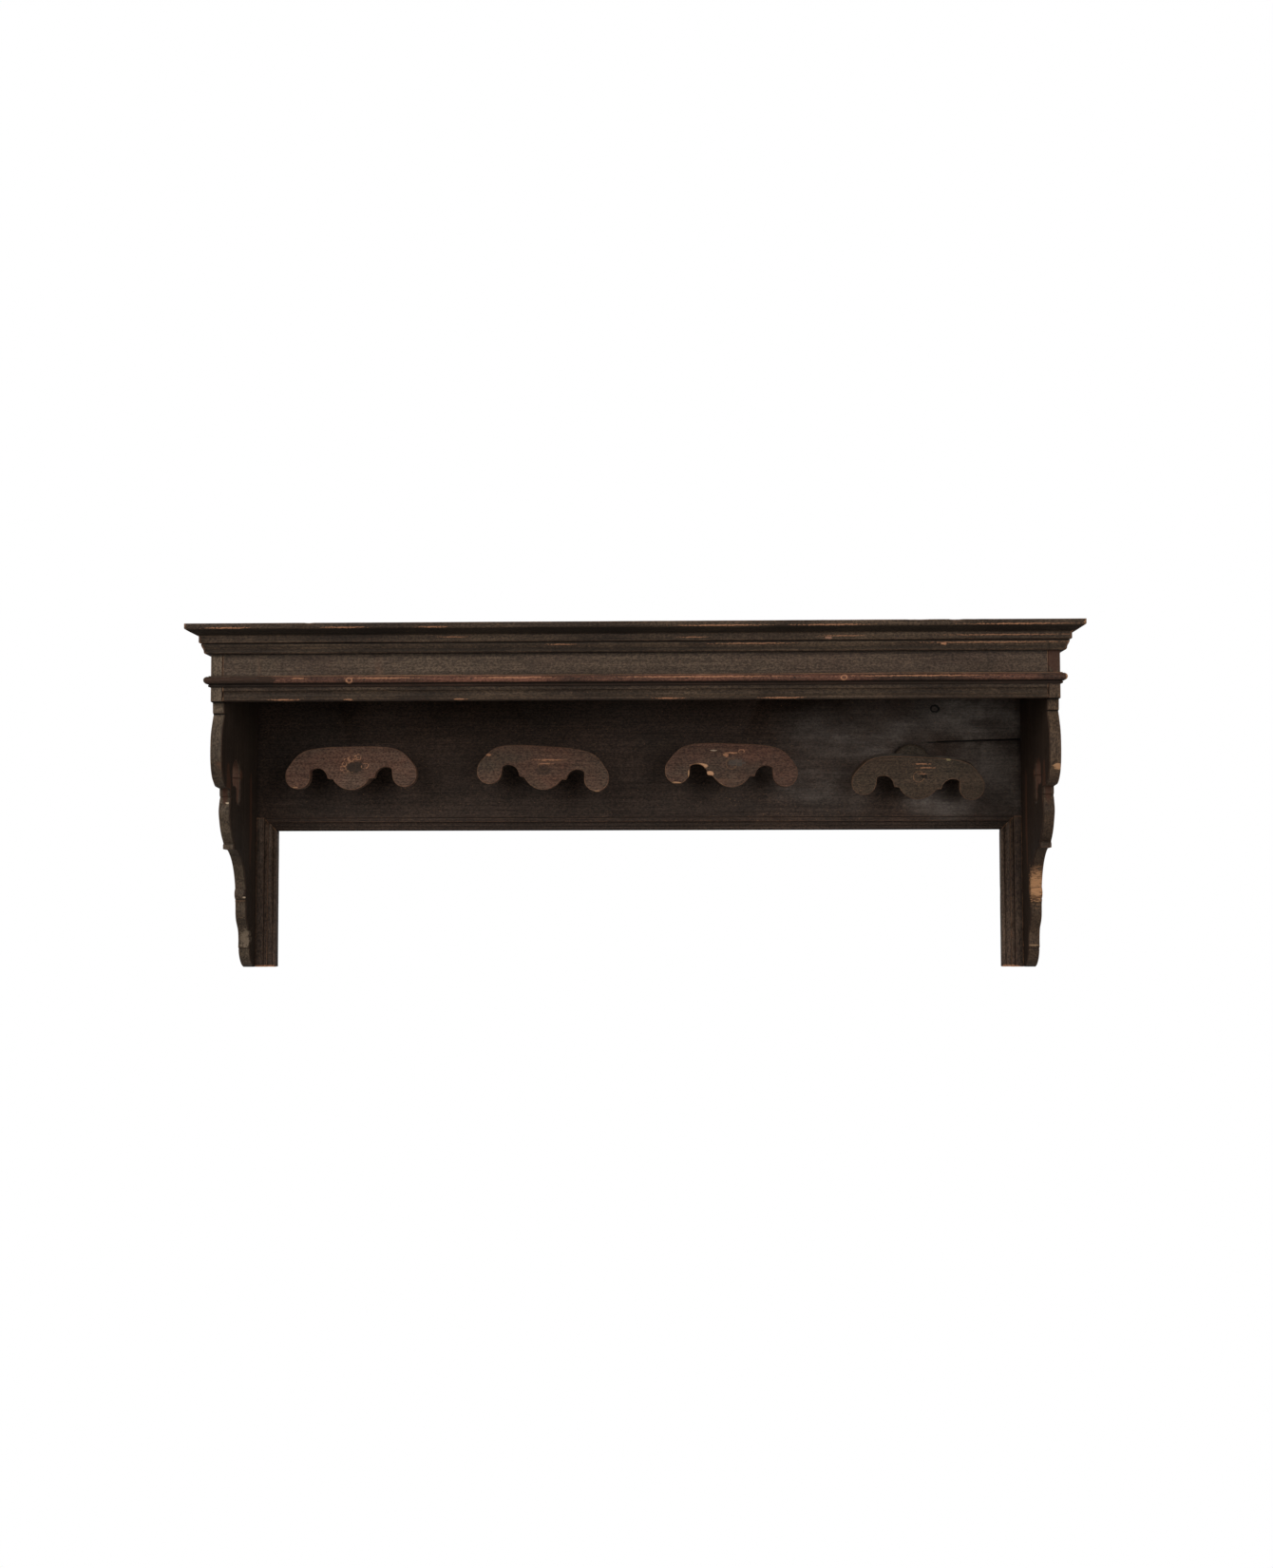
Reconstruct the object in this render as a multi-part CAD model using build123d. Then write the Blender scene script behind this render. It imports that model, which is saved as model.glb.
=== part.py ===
from build123d import *
from math import radians, tan
import os

# A wooden hat shelf that hangs on a wall: a moulded cornice on two scroll-cut brackets, a back board
# with two legs, and four wooden double-scroll hooks. Millimetres.
# Heights are measured up from the feet of the legs, and depths out from the wall (the model's -Y).
# Everything is moved down by HANG_HEIGHT when it is saved, so the origin lies on the wall, midway
# between the two wall screws.

HANG_HEIGHT = 540.0
SCREW_SPACING = 900.0
SCREW_HOLE_RADIUS = 3.0

INNER_HALF = 691.0  # middle of the shelf to the inner face of a bracket
BRACKET_THICK = 20.4
OUTER_HALF = INNER_HALF + BRACKET_THICK
SHELF_DEPTH = 260.0  # wall to the face of the frieze
BOARD_THICK = 20.0
TOP_HEIGHT = 584.0
UNDER_TOP = TOP_HEIGHT - BOARD_THICK

CROWN_REACH = 36.0  # how far the crown stands out from the frieze
CROWN_BOTTOM = 553.0
BED_BOTTOM = 536.0
ASTRAGAL_TOP = 499.5
ASTRAGAL_BOTTOM = 480.5
FRIEZE_BOTTOM = 484.0
ARCHITRAVE_BOTTOM = 457.5

LEG_WIDTH = 37.5
EDGE_MOULD = 23.5  # width of the moulding along the free edges of the legs and the back board
BOARD_BOTTOM = 245.7
LEG_INNER = INNER_HALF - LEG_WIDTH

RAIL_TALL = 44.0
RAIL_THICK = 22.0
BLOCK_SIDE = 26.0
BLOCK_LONG = 70.0
BLOCK_COUNT = 5

PLATE_THICK = 20.0
ARM_REACH = 55.0  # board face to the back of a hook plate
ARM_RADIUS = 13.0
TENON_RADIUS = 10.0
PEG_DROP = 36.0  # top of a hook plate down to its arm
BOSS_RADIUS = 33.0
BOSS_THICK = 14.0
BOSS_ROUND = 6.0
WEDGE_WIDE = 17.0
WEDGE_DEEP = 13.0
WEDGE_THICK = 2.4
WEDGE_TIP = 0.6
WEDGE_SINK = 0.4  # the wedge and the tenon stop this far short of the wall

FIT = 0.05  # clearance all round a peg, a nail or a screw
PAST = 1.0  # how far a cutting shape runs past what it cuts
PIN = dict(shank=1.8, head=3.2, length=30.0)
NAIL = dict(shank=2.8, head=6.0, length=52.0)
HEAD_THICK = 0.6  # of the shank
HEAD_NARROW = 0.7  # of the head's length
CROWN_FASCIA = 16.6
CROWN_PIN = (CROWN_FASCIA, 558.5)  # out from the frieze, and height
BED_PIN = (11.0, 544.6)
ASTRAGAL_CREST = (10.0, 491.6)
RAIL_SCREW_X = (-560.0, -250.0, 250.0, 560.0)
RAIL_SCREW = dict(shank=2.0, head=4.2, sink=2.6, length=34.0, slot=0.9)

# Each hook: its place along the shelf, height of its arm at the board, droop and turn in degrees
# (the turn is clockwise seen from the front), and how far its boss has crept sideways and up.
HOOKS = [
    dict(x=-505.0, height=357.0, droop=0.0, turn=-1.0, boss=(0.0, 0.0)),
    dict(x=-163.0, height=356.5, droop=0.0, turn=4.1, boss=(0.0, 0.0)),
    dict(x=169.0, height=360.0, droop=0.0, turn=1.8, boss=(0.0, 0.0)),
    dict(x=498.0, height=358.0, droop=17.0, turn=3.0, boss=(-5.0, 8.0)),
]

# Local x is depth from the wall and local y is height, for sections that run along the shelf.
SECTION = Plane(origin=(0, 0, 0), x_dir=(0, -1, 0), z_dir=(-1, 0, 0))
# Local x runs along the shelf and local y is height, for shapes seen from the front.
FRONT = Plane(origin=(0, 0, 0), x_dir=(1, 0, 0), z_dir=(0, -1, 0))


def outline(start, *steps):
    """Face bounded by steps from start: a point is a straight step, a list is an arc or a curve."""
    edges = []
    here = start
    for step in steps + (start,):
        through = step if isinstance(step, list) else [step]
        if len(through) == 1:
            edges.append(Line(here, through[0]))
        elif len(through) == 2:
            edges.append(ThreePointArc(here, *through))
        else:
            edges.append(Spline(here, *through))
        here = through[-1]
    return make_face(edges)


def along_shelf(face, x_from, x_to):
    """A section of depth and height, carried along the shelf."""
    return extrude(Pos(x_from, 0, 0) * (SECTION * face), amount=x_to - x_from, dir=(1, 0, 0))


def off_wall(face, depth_from, depth_to):
    """A shape seen from the front, carried out from the wall."""
    return extrude(Pos(0, -depth_from, 0) * (FRONT * face), amount=depth_to - depth_from, dir=(0, -1, 0))


def slab(x_from, x_to, depth_from, depth_to, low, high):
    """A squared board between two places along the shelf, two depths and two heights."""
    middle = ((x_from + x_to) / 2, -(depth_from + depth_to) / 2, (low + high) / 2)
    return Pos(*middle) * Box(x_to - x_from, depth_to - depth_from, high - low)


def save(node, shape):
    """Write one sub-part, lowered so that the wall screws are at height zero."""
    lowered = Pos(0, 0, -HANG_HEIGHT) * shape
    export_step(lowered, os.path.join("parts", node + ".step"))


def both_ways(shape):
    """The shape and its mirror image on the other side of the middle."""
    return [shape, mirror(shape, about=Plane.YZ)]


def crown_section():
    """Square fillet at the top, hollow under it, then a flat fascia."""
    return outline(
        (0, TOP_HEIGHT),
        (CROWN_REACH, TOP_HEIGHT),
        (CROWN_REACH, 575.2),
        (34.4, 573.8),
        [(24.6, 568.4), (CROWN_FASCIA, 565.2)],
        (CROWN_FASCIA, CROWN_BOTTOM + 1.2),
        (15.0, CROWN_BOTTOM),
        (0, CROWN_BOTTOM),
    )


def bed_section():
    """A flattened ogee under the crown."""
    return outline(
        (0, CROWN_BOTTOM),
        (12.4, CROWN_BOTTOM),
        (13.4, CROWN_BOTTOM - 1.4),
        [(12.9, 548.8), BED_PIN],
        [(9.8, 541.4), (9.5, 538.2)],
        (8.0, BED_BOTTOM),
        (0, BED_BOTTOM),
    )


def astragal_section():
    """A half-round between two narrow fillets, with a small bead under it."""
    return outline(
        (0, ASTRAGAL_TOP),
        (3.0, ASTRAGAL_TOP),
        (3.0, 498.2),
        [ASTRAGAL_CREST, (3.2, 485.0)],
        (2.2, 484.6),
        [(3.6, 482.6), (2.2, ASTRAGAL_BOTTOM)],
        (0, ASTRAGAL_BOTTOM),
    )


def moulding(section):
    """The front length of a moulding and its two returns, mitred where they meet."""
    reach = CROWN_REACH + PAST
    outer = OUTER_HALF + reach
    deep = SHELF_DEPTH + reach
    front_plan = Polyline(
        (-OUTER_HALF, -SHELF_DEPTH), (OUTER_HALF, -SHELF_DEPTH), (outer, -deep), (-outer, -deep), close=True
    )
    side_plan = Polyline(
        (OUTER_HALF, 0), (outer, 0), (outer, -deep), (OUTER_HALF, -SHELF_DEPTH), close=True
    )
    front = along_shelf(Pos(SHELF_DEPTH, 0) * section, -outer, outer)
    front &= extrude(make_face(front_plan), amount=TOP_HEIGHT + PAST, dir=(0, 0, 1))
    side = off_wall(Pos(OUTER_HALF, 0) * section, 0, deep)
    side &= extrude(make_face(side_plan), amount=TOP_HEIGHT + PAST, dir=(0, 0, 1))
    right, left = both_ways(side)
    return front, left, right


def bracket_outline():
    """Front edge of a bracket from the top down: block, two swelling scrolls, hollow and long foot."""
    return outline(
        (0, UNDER_TOP),
        (SHELF_DEPTH, UNDER_TOP),
        (SHELF_DEPTH, 456),
        (246.5, 455.2),
        (245.5, 438.5),
        (241.0, 436.0),
        (243.0, 432.5),
        [(250.5, 418), (257.2, 400), (259.4, 380), (257.4, 351), (243.6, 325), (224.5, 314.5)],
        (198.5, 312.5),
        (198.0, 301.0),
        (194.5, 298.0),
        (197.5, 294.5),
        [(201.3, 283), (203.0, 273), (199.8, 261), (189.5, 240.5), (171.0, 221.2)],
        (169.5, 219.4),
        (172.4, 218.0),
        (172.4, 209.6),
        (143.0, 208.6),
        [(119.5, 195), (101.5, 175), (92.2, 156), (88.0, 142)],
        [(92.6, 132), (88.6, 123.4)],
        (86.6, 121.8),
        (89.2, 120.2),
        [(85.0, 112), (84.2, 98), (77.5, 81.5), (66.0, 67), (62.2, 54), (62.8, 36.4)],
        (58.6, 34.4),
        (60.2, 32.4),
        [(52.0, 16.5), (30.0, 1.6)],
        (24.0, 0),
        (0, 0),
    )


def piercing_outline():
    """The fret-sawn opening of a bracket: a round head, a step at its back and a narrow tail."""
    return outline(
        (134.0, 339.0),
        [(137.0, 357.0), (159.0, 365.5), (181.0, 358.0), (187.0, 338.0)],
        [(187.4, 326.0), (181.0, 317.0)],
        [(165.0, 316.4), (159.0, 307.0)],
        [(158.6, 294.0), (146.0, 286.6)],
        [(134.4, 292.0), (131.2, 304.0)],
        (131.2, 334.6),
        (134.0, 336.0),
    )


def edge_section(length):
    """Section across a board whose free edge carries the moulding: x from that edge, y from the wall."""
    return outline(
        (0, 0),
        (0, 15.6),
        [(0.8, 17.6), (2.8, 18.4)],
        (5.6, 18.4),
        [(10.6, 15.8), (15.6, 18.4)],
        (15.6, BOARD_THICK),
        (21.6, BOARD_THICK),
        (22.2, 18.2),
        (22.9, 18.2),
        (EDGE_MOULD, BOARD_THICK),
        (length, BOARD_THICK),
        (length, 0),
    )


def plate_half():
    """Right-hand half of a hook plate, from the middle of its top edge round to its lowest point."""
    return [
        Spline((0, 0), (62, -2.2), (92, -11.8), (110, -31.5), (117, -51), tangents=[(1, 0), (0, -1)]),
        ThreePointArc((117, -51), (95, -74), (73, -51)),
        Line((73, -51), (72.4, -41.2)),
        ThreePointArc((72.4, -41.2), (60, -37.6), (42.6, -54)),
        Line((42.6, -54), (41, -56.8)),
        Line((41, -56.8), (33.2, -57.4)),
        Line((33.2, -57.4), (31.2, -60)),
        ThreePointArc((31.2, -60), (17.5, -72.8), (0, -77.6)),
    ]


def nail(shank, head, length, spare=0.0):
    """A cut nail driven straight down, its head flush at the origin."""
    thick = shank * HEAD_THICK
    narrow = head * HEAD_NARROW
    stem = Pos(0, 0, -length / 2) * Box(shank + 2 * spare, shank + 2 * spare, length + 2 * spare)
    top = Pos(0, 0, -thick / 2) * Box(head + 2 * spare, narrow + 2 * spare, thick + 2 * spare)
    return stem + top


def screw(shank, head, sink, length, slot):
    """A slotted countersunk screw driven straight down, its head flush at the origin."""
    body = Cylinder(shank, length, align=(Align.CENTER, Align.CENTER, Align.MAX))
    top = Cone(shank, head, sink, align=(Align.CENTER, Align.CENTER, Align.MAX))
    return body + top - Box(2 * head + PAST, slot, sink * 0.75)


def screw_hole(shank, head, sink, length, slot):
    """The countersunk hole for that screw."""
    body = Cylinder(shank + FIT, length + FIT, align=(Align.CENTER, Align.CENTER, Align.MAX))
    top = Cone(shank + FIT, head + FIT, sink + FIT, align=(Align.CENTER, Align.CENTER, Align.MAX))
    return body + top


def driven(places, shank, head, length):
    """Nails at the places, and the slightly larger holes that they fill."""
    nails = [place * nail(shank, head, length) for place in places]
    holes = [place * nail(shank, head, length, FIT) for place in places]
    return nails, holes


def spread(count, half):
    """Evenly spaced places from -half to half."""
    return [-half + 2 * half * i / (count - 1) for i in range(count)]


def from_front(x, depth, height):
    """A nail driven towards the wall."""
    return Pos(x, -depth, height) * Rot(90, 0, 0)


def from_side(side, x, depth, height):
    """A nail driven inwards from the left (side -1) or the right (side 1)."""
    return Pos(side * x, -depth, height) * Rot(0, side * 90, 0)


def pinned(out, height, front_x, side_depths):
    """Places of the pins of a moulding: along its front length, and along both returns."""
    places = [from_front(x, SHELF_DEPTH + out, height) for x in front_x]
    return places + [from_side(s, OUTER_HALF + out, d, height) for s in (-1, 1) for d in side_depths]


os.makedirs("parts", exist_ok=True)

# Fasteners first, because the boards are bored for them.
crown_places = pinned(*CROWN_PIN, spread(7, 660), (60, 210))
bed_places = pinned(*BED_PIN, spread(6, 600), (40, 230))
astragal_places = pinned(*ASTRAGAL_CREST, spread(8, 630), (50, 225))
top_places = [Pos(s * (INNER_HALF + 10), -d, TOP_HEIGHT) for s in (-1, 1) for d in (45, 130, 215)]
top_places += [Pos(x, -10, TOP_HEIGHT) for x in spread(6, 600)]
top_places += [Pos(x, -250, TOP_HEIGHT) for x in spread(6, 550)]
side_heights = (30, 130, 225, 300, 400, 500)
side_places = [from_side(s, OUTER_HALF, 10, z) for s in (-1, 1) for z in side_heights]
side_places += [from_side(s, OUTER_HALF, 250, z) for s in (-1, 1) for z in (470, 520)]

crown_pins, crown_holes = driven(crown_places, **PIN)
bed_pins, bed_holes = driven(bed_places, **PIN)
astragal_pins, astragal_holes = driven(astragal_places, **PIN)
top_nails, top_holes = driven(top_places, **NAIL)
side_nails, side_holes = driven(side_places, **NAIL)

rail_mid = UNDER_TOP - RAIL_TALL / 2
rail_face = BOARD_THICK + RAIL_THICK
rail_places = [from_front(x, rail_face, rail_mid) for x in RAIL_SCREW_X]
rail_screws = [place * screw(**RAIL_SCREW) for place in rail_places]
rail_holes = [place * screw_hole(**RAIL_SCREW) for place in rail_places]

# Wall screw holes, through the hanging rail and the back board.
wall_holes = [
    Pos(x, -rail_face / 2, HANG_HEIGHT) * Rot(90, 0, 0) * Cylinder(SCREW_HOLE_RADIUS, rail_face + 2 * PAST)
    for x in (-SCREW_SPACING / 2, SCREW_SPACING / 2)
]

# Hooks: arm, plate, boss and wedge. Each is made about the point where its arm leaves the board.
half = plate_half()
plate_face = make_face(half + [mirror(edge, about=Plane.YZ) for edge in half])
plate_blank = extrude(
    Pos(0, -ARM_REACH, 0) * (FRONT * (Pos(0, PEG_DROP) * plate_face)), amount=PLATE_THICK, dir=(0, -1, 0)
)
plate_blank -= Rot(90, 0, 0) * Cylinder(TENON_RADIUS + FIT, 2 * (ARM_REACH + PLATE_THICK + PAST))
in_front = slab(-OUTER_HALF, OUTER_HALF, BOARD_THICK, SHELF_DEPTH, 0, TOP_HEIGHT)
in_board = slab(-OUTER_HALF, OUTER_HALF, WEDGE_SINK, BOARD_THICK, 0, TOP_HEIGHT)
wedge_section = outline(
    (WEDGE_SINK, -WEDGE_THICK / 2),
    (WEDGE_SINK, WEDGE_THICK / 2),
    (WEDGE_DEEP, WEDGE_TIP / 2),
    (WEDGE_DEEP, -WEDGE_TIP / 2),
)

arm_holes = []
wedges = []
for number, hook in enumerate(HOOKS, start=1):
    seat = Pos(hook["x"], -BOARD_THICK, hook["height"]) * Rot(hook["droop"], 0, 0) * Rot(0, hook["turn"], 0)
    lengthwise = seat * Rot(90, 0, 0)
    shaft = lengthwise * Cylinder(ARM_RADIUS, 2 * ARM_REACH)
    tenon = lengthwise * Cylinder(TENON_RADIUS, 2 * (ARM_REACH + PLATE_THICK))
    arm = (shaft & in_front) + (tenon & in_front) + (tenon & in_board)
    rise = (BOARD_THICK - WEDGE_DEEP / 2) * tan(radians(hook["droop"]))
    wedge = along_shelf(wedge_section, -WEDGE_WIDE / 2, WEDGE_WIDE / 2)
    wedge = Pos(hook["x"], 0, hook["height"] + rise) * wedge
    wedges.append(wedge)
    save(f"hook_{number}_arm", arm - wedge)
    save(f"hook_{number}_plate", seat * plate_blank)
    boss = Pos(0, 0, BOSS_THICK / 2) * Cylinder(BOSS_RADIUS, BOSS_THICK)
    boss = fillet(boss.edges().sort_by(Axis.Z)[-1], BOSS_ROUND)
    aside, up = hook["boss"]
    boss = Pos(hook["x"] + aside, -BOARD_THICK, hook["height"] + up) * Rot(90, 0, 0) * boss
    boss -= lengthwise * Cylinder(ARM_RADIUS + FIT, 2 * ARM_REACH)
    save(f"hook_{number}_boss", boss)
    arm_holes.append(lengthwise * Cylinder(TENON_RADIUS + FIT, 2 * ARM_REACH))
save("hook_wedges", Compound(children=wedges))

# Back board and legs, moulded along their free edges and mitred at the two inner corners.
corner = BOARD_BOTTOM + EDGE_MOULD
board_shape = Polyline(
    (-LEG_INNER, BOARD_BOTTOM),
    (LEG_INNER, BOARD_BOTTOM),
    (LEG_INNER + EDGE_MOULD, corner),
    (INNER_HALF, corner),
    (INNER_HALF, UNDER_TOP),
    (-INNER_HALF, UNDER_TOP),
    (-INNER_HALF, corner),
    (-LEG_INNER - EDGE_MOULD, corner),
    close=True,
)
board_section = edge_section(UNDER_TOP - BOARD_BOTTOM)
board = extrude(
    Plane(origin=(-INNER_HALF, 0, BOARD_BOTTOM), x_dir=(0, 0, 1), z_dir=(1, 0, 0)) * board_section,
    amount=2 * INNER_HALF,
    dir=(1, 0, 0),
)
board &= off_wall(make_face(board_shape), -PAST, BOARD_THICK + PAST)
save("back_board", board - arm_holes - wall_holes - rail_holes - side_holes - top_holes)

leg_shape = Polyline(
    (LEG_INNER, 0),
    (INNER_HALF, 0),
    (INNER_HALF, corner),
    (LEG_INNER + EDGE_MOULD, corner),
    (LEG_INNER, BOARD_BOTTOM),
    close=True,
)
leg = extrude(
    Plane(origin=(LEG_INNER, 0, 0), x_dir=(1, 0, 0), z_dir=(0, 0, -1)) * edge_section(LEG_WIDTH),
    amount=corner + PAST,
    dir=(0, 0, 1),
)
leg &= off_wall(make_face(leg_shape), -PAST, BOARD_THICK + PAST)
for name, shape in zip(("leg_right", "leg_left"), both_ways(leg)):
    save(name, shape - side_holes)

# Brackets.
bracket = along_shelf(bracket_outline(), INNER_HALF, OUTER_HALF)
bracket -= along_shelf(piercing_outline(), INNER_HALF - PAST, OUTER_HALF + PAST)
bracket_nail_holes = side_holes + top_holes + crown_holes + bed_holes + astragal_holes
for name, shape in zip(("bracket_right", "bracket_left"), both_ways(bracket)):
    save(name, shape - bracket_nail_holes)

# Cornice: shelf board, frieze, architrave and the three applied mouldings.
top_board = slab(-OUTER_HALF, OUTER_HALF, 0, SHELF_DEPTH, UNDER_TOP, TOP_HEIGHT)
save("top_board", top_board - top_holes)

frieze = slab(-INNER_HALF, INNER_HALF, SHELF_DEPTH - BOARD_THICK, SHELF_DEPTH, FRIEZE_BOTTOM, UNDER_TOP)
save("frieze_board", frieze - crown_holes - bed_holes - astragal_holes - top_holes - side_holes)

architrave = outline(
    (SHELF_DEPTH - BOARD_THICK, ARCHITRAVE_BOTTOM),
    (SHELF_DEPTH - BOARD_THICK, FRIEZE_BOTTOM),
    (SHELF_DEPTH, FRIEZE_BOTTOM),
    (SHELF_DEPTH, 474.5),
    (SHELF_DEPTH - 1.4, 473.8),
    [(SHELF_DEPTH - 3.4, 468.6), (SHELF_DEPTH - 1.4, 463.2)],
    (SHELF_DEPTH, 462.4),
    (SHELF_DEPTH, 459.5),
    [(SHELF_DEPTH - 0.6, 458.1), (SHELF_DEPTH - 2.0, ARCHITRAVE_BOTTOM)],
)
save("architrave_rail", along_shelf(architrave, -INNER_HALF, INNER_HALF) - side_holes)

for kind, section, holes in (
    ("crown", crown_section(), crown_holes),
    ("bed_mould", bed_section(), bed_holes),
    ("astragal", astragal_section(), astragal_holes),
):
    for name, shape in zip(("front", "left", "right"), moulding(section)):
        save(f"{kind}_{name}", shape - holes)

# Hidden structure: the rail that carries the wall screws, and the corner blocks behind the frieze.
rail = slab(-INNER_HALF, INNER_HALF, BOARD_THICK, rail_face, UNDER_TOP - RAIL_TALL, UNDER_TOP)
save("hanging_rail", rail - wall_holes - rail_holes)
block_back = SHELF_DEPTH - BOARD_THICK
block_section = outline(
    (block_back, UNDER_TOP), (block_back, UNDER_TOP - BLOCK_SIDE), (block_back - BLOCK_SIDE, UNDER_TOP)
)
blocks = [
    along_shelf(block_section, x - BLOCK_LONG / 2, x + BLOCK_LONG / 2) for x in spread(BLOCK_COUNT, 560)
]
save("glue_blocks", Compound(children=blocks))

for name, group in (
    ("crown_pins", crown_pins),
    ("bed_mould_pins", bed_pins),
    ("astragal_pins", astragal_pins),
    ("top_board_nails", top_nails),
    ("bracket_nails", side_nails),
    ("rail_screws", rail_screws),
):
    save(name, Compound(children=group))
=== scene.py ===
# %% [markdown]
# # An old wall shelf with wooden hooks
# The object is a long hat shelf: a moulded cornice box on two scroll-cut brackets, a back board with
# two narrow legs, and four double-scroll hooks. It is all wood, stained nearly black a long time ago
# and rubbed back to bare wood wherever hands, coats and dusters have touched it.
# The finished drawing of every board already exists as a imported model. Here each board that shows is
# made again from that drawing's own cross-section, with softened arrises, small dents and a slight
# waver, because real boards this old have no straight line left in them.

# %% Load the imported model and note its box
import math

import bmesh
import bpy
from mathutils import Matrix, Vector, noise


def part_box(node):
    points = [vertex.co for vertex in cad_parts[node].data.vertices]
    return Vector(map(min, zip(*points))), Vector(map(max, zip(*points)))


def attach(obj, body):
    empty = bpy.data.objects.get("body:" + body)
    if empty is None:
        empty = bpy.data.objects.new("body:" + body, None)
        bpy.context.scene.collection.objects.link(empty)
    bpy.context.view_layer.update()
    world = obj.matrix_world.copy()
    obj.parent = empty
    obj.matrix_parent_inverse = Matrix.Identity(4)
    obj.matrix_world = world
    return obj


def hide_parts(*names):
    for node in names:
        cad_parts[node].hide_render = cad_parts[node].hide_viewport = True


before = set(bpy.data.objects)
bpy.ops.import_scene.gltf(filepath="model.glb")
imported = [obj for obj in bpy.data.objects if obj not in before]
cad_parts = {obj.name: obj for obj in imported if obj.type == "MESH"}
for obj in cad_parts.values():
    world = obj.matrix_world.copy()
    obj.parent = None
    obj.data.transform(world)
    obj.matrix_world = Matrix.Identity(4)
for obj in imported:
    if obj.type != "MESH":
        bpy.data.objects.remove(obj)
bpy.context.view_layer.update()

# %% [markdown]
# ## Places taken from the model
# The shelf board gives the outer faces of the brackets and the face of the frieze. The back board
# gives the height of the mitred corners. Nothing is measured twice: if the drawing changes, the
# pieces below follow it.

# %% Named places
WALL = 0.0
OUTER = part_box("top_board")[1].x
FRIEZE_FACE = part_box("top_board")[0].y
CORNER_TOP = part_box("leg_right")[1].z
LEG_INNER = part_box("leg_right")[0].x
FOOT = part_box("leg_right")[0].z
BOARD_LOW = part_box("back_board")[0].z
BOARD_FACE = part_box("back_board")[0].y
SINK = 0.00025  # every worn face lies this far inside the drawing
print("half length", round(OUTER, 4), "depth", round(-FRIEZE_FACE, 4), "feet at", round(FOOT, 4))

# %% [markdown]
# ## Camera
# The shelf is seen almost straight on and from a little below its hooks. The camera stands slightly
# right of the middle, turned a degree and a half to the left and three degrees up. A lens a little
# longer than the eye's keeps the brackets' inner faces visible without stretching them.

# %% Camera
CAMERA_PLACE = Vector((0.0831, -3.1222, -0.3854))
CAMERA_YAW = math.radians(1.544)
CAMERA_PITCH = math.radians(3.214)
CAMERA_ROLL = math.radians(-0.096)
CAMERA_LENS = 39.5

camera_data = bpy.data.cameras.new("camera")
camera_data.lens = CAMERA_LENS
camera_data.sensor_width = 36.0
camera = bpy.data.objects.new("camera", camera_data)
bpy.context.scene.collection.objects.link(camera)
camera.matrix_world = (
    Matrix.Translation(CAMERA_PLACE)
    @ Matrix.Rotation(CAMERA_YAW, 4, "Z")
    @ Matrix.Rotation(math.radians(90) + CAMERA_PITCH, 4, "X")
    @ Matrix.Rotation(CAMERA_ROLL, 4, "Z")
)
bpy.context.scene.camera = camera
print("camera at", tuple(round(c, 3) for c in CAMERA_PLACE))

# %% [markdown]
# ## Studio
# A pale floor and a pale sweep far behind, so that nothing but the shelf draws the eye. One large
# soft lamp stands low on the right, where the board throws its light back as a faint sheen. Two
# stand on the left, one of them high, so each hook throws soft shadows to both sides, and one behind
# lights the back for a look from there. The white sky is weak: corners under the cornice stay dark.

# %% Studio helpers
def lamp(name, place, target, size, watts, colour=(1.0, 1.0, 1.0)):
    """A square soft lamp at place, turned to the target."""
    data = bpy.data.lights.new(name, "AREA")
    data.shape = "SQUARE"
    data.size = size
    data.energy = watts
    data.color = colour
    made = bpy.data.objects.new(name, data)
    bpy.context.scene.collection.objects.link(made)
    place = Vector(place)
    turn = (Vector(target) - place).to_track_quat("-Z", "Y")
    made.matrix_world = Matrix.Translation(place) @ turn.to_matrix().to_4x4()


def fill(tree, node, values):
    """Links each socket that is given another node's output, and sets each that is given a value."""
    for name, value in values.items():
        if isinstance(value, bpy.types.NodeSocket):
            tree.links.new(value, node.inputs[name])
        else:
            node.inputs[name].default_value = value


def add(tree, kind, inputs=None, **settings):
    """A shader node with its settings made and its sockets filled."""
    made = tree.nodes.new("ShaderNode" + kind)
    for name, value in settings.items():
        setattr(made, name, value)
    fill(tree, made, inputs or {})
    return made


def empty_tree(owner):
    """The node tree of a new material or sky, with nothing in it."""
    owner.use_nodes = True
    owner.node_tree.nodes.clear()
    return owner.node_tree


# %% Lamps, sky, floor and sweep
MIDDLE = (0.0, -0.15, -0.22)
lamp("soft_lamp_right", (1.9, -3.0, 0.25), MIDDLE, 2.0, 38.0, (1.0, 0.985, 0.96))
lamp("soft_lamp_left_high", (-2.4, -3.0, 2.2), MIDDLE, 2.6, 42.0, (1.0, 0.98, 0.95))
lamp("soft_lamp_left", (-1.7, -3.0, 0.8), MIDDLE, 2.6, 40.0, (1.0, 0.98, 0.95))
lamp("soft_lamp_behind", (0.0, 3.0, 1.4), MIDDLE, 2.2, 40.0)

SKY_STRENGTH = 0.08
sky = bpy.data.worlds.new("studio_sky")
tree = empty_tree(sky)
seen = add(tree, "Background", {"Color": (1, 1, 1, 1), "Strength": 1.0})
felt = add(tree, "Background", {"Color": (1.0, 0.99, 0.97, 1), "Strength": SKY_STRENGTH})
by_eye = add(tree, "LightPath").outputs["Is Camera Ray"]
sky_mix = add(tree, "MixShader", {0: by_eye, 1: felt.outputs[0], 2: seen.outputs[0]})
add(tree, "OutputWorld", {"Surface": sky_mix.outputs[0]})
bpy.context.scene.world = sky
bpy.context.scene.view_settings.view_transform = "Standard"

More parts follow.
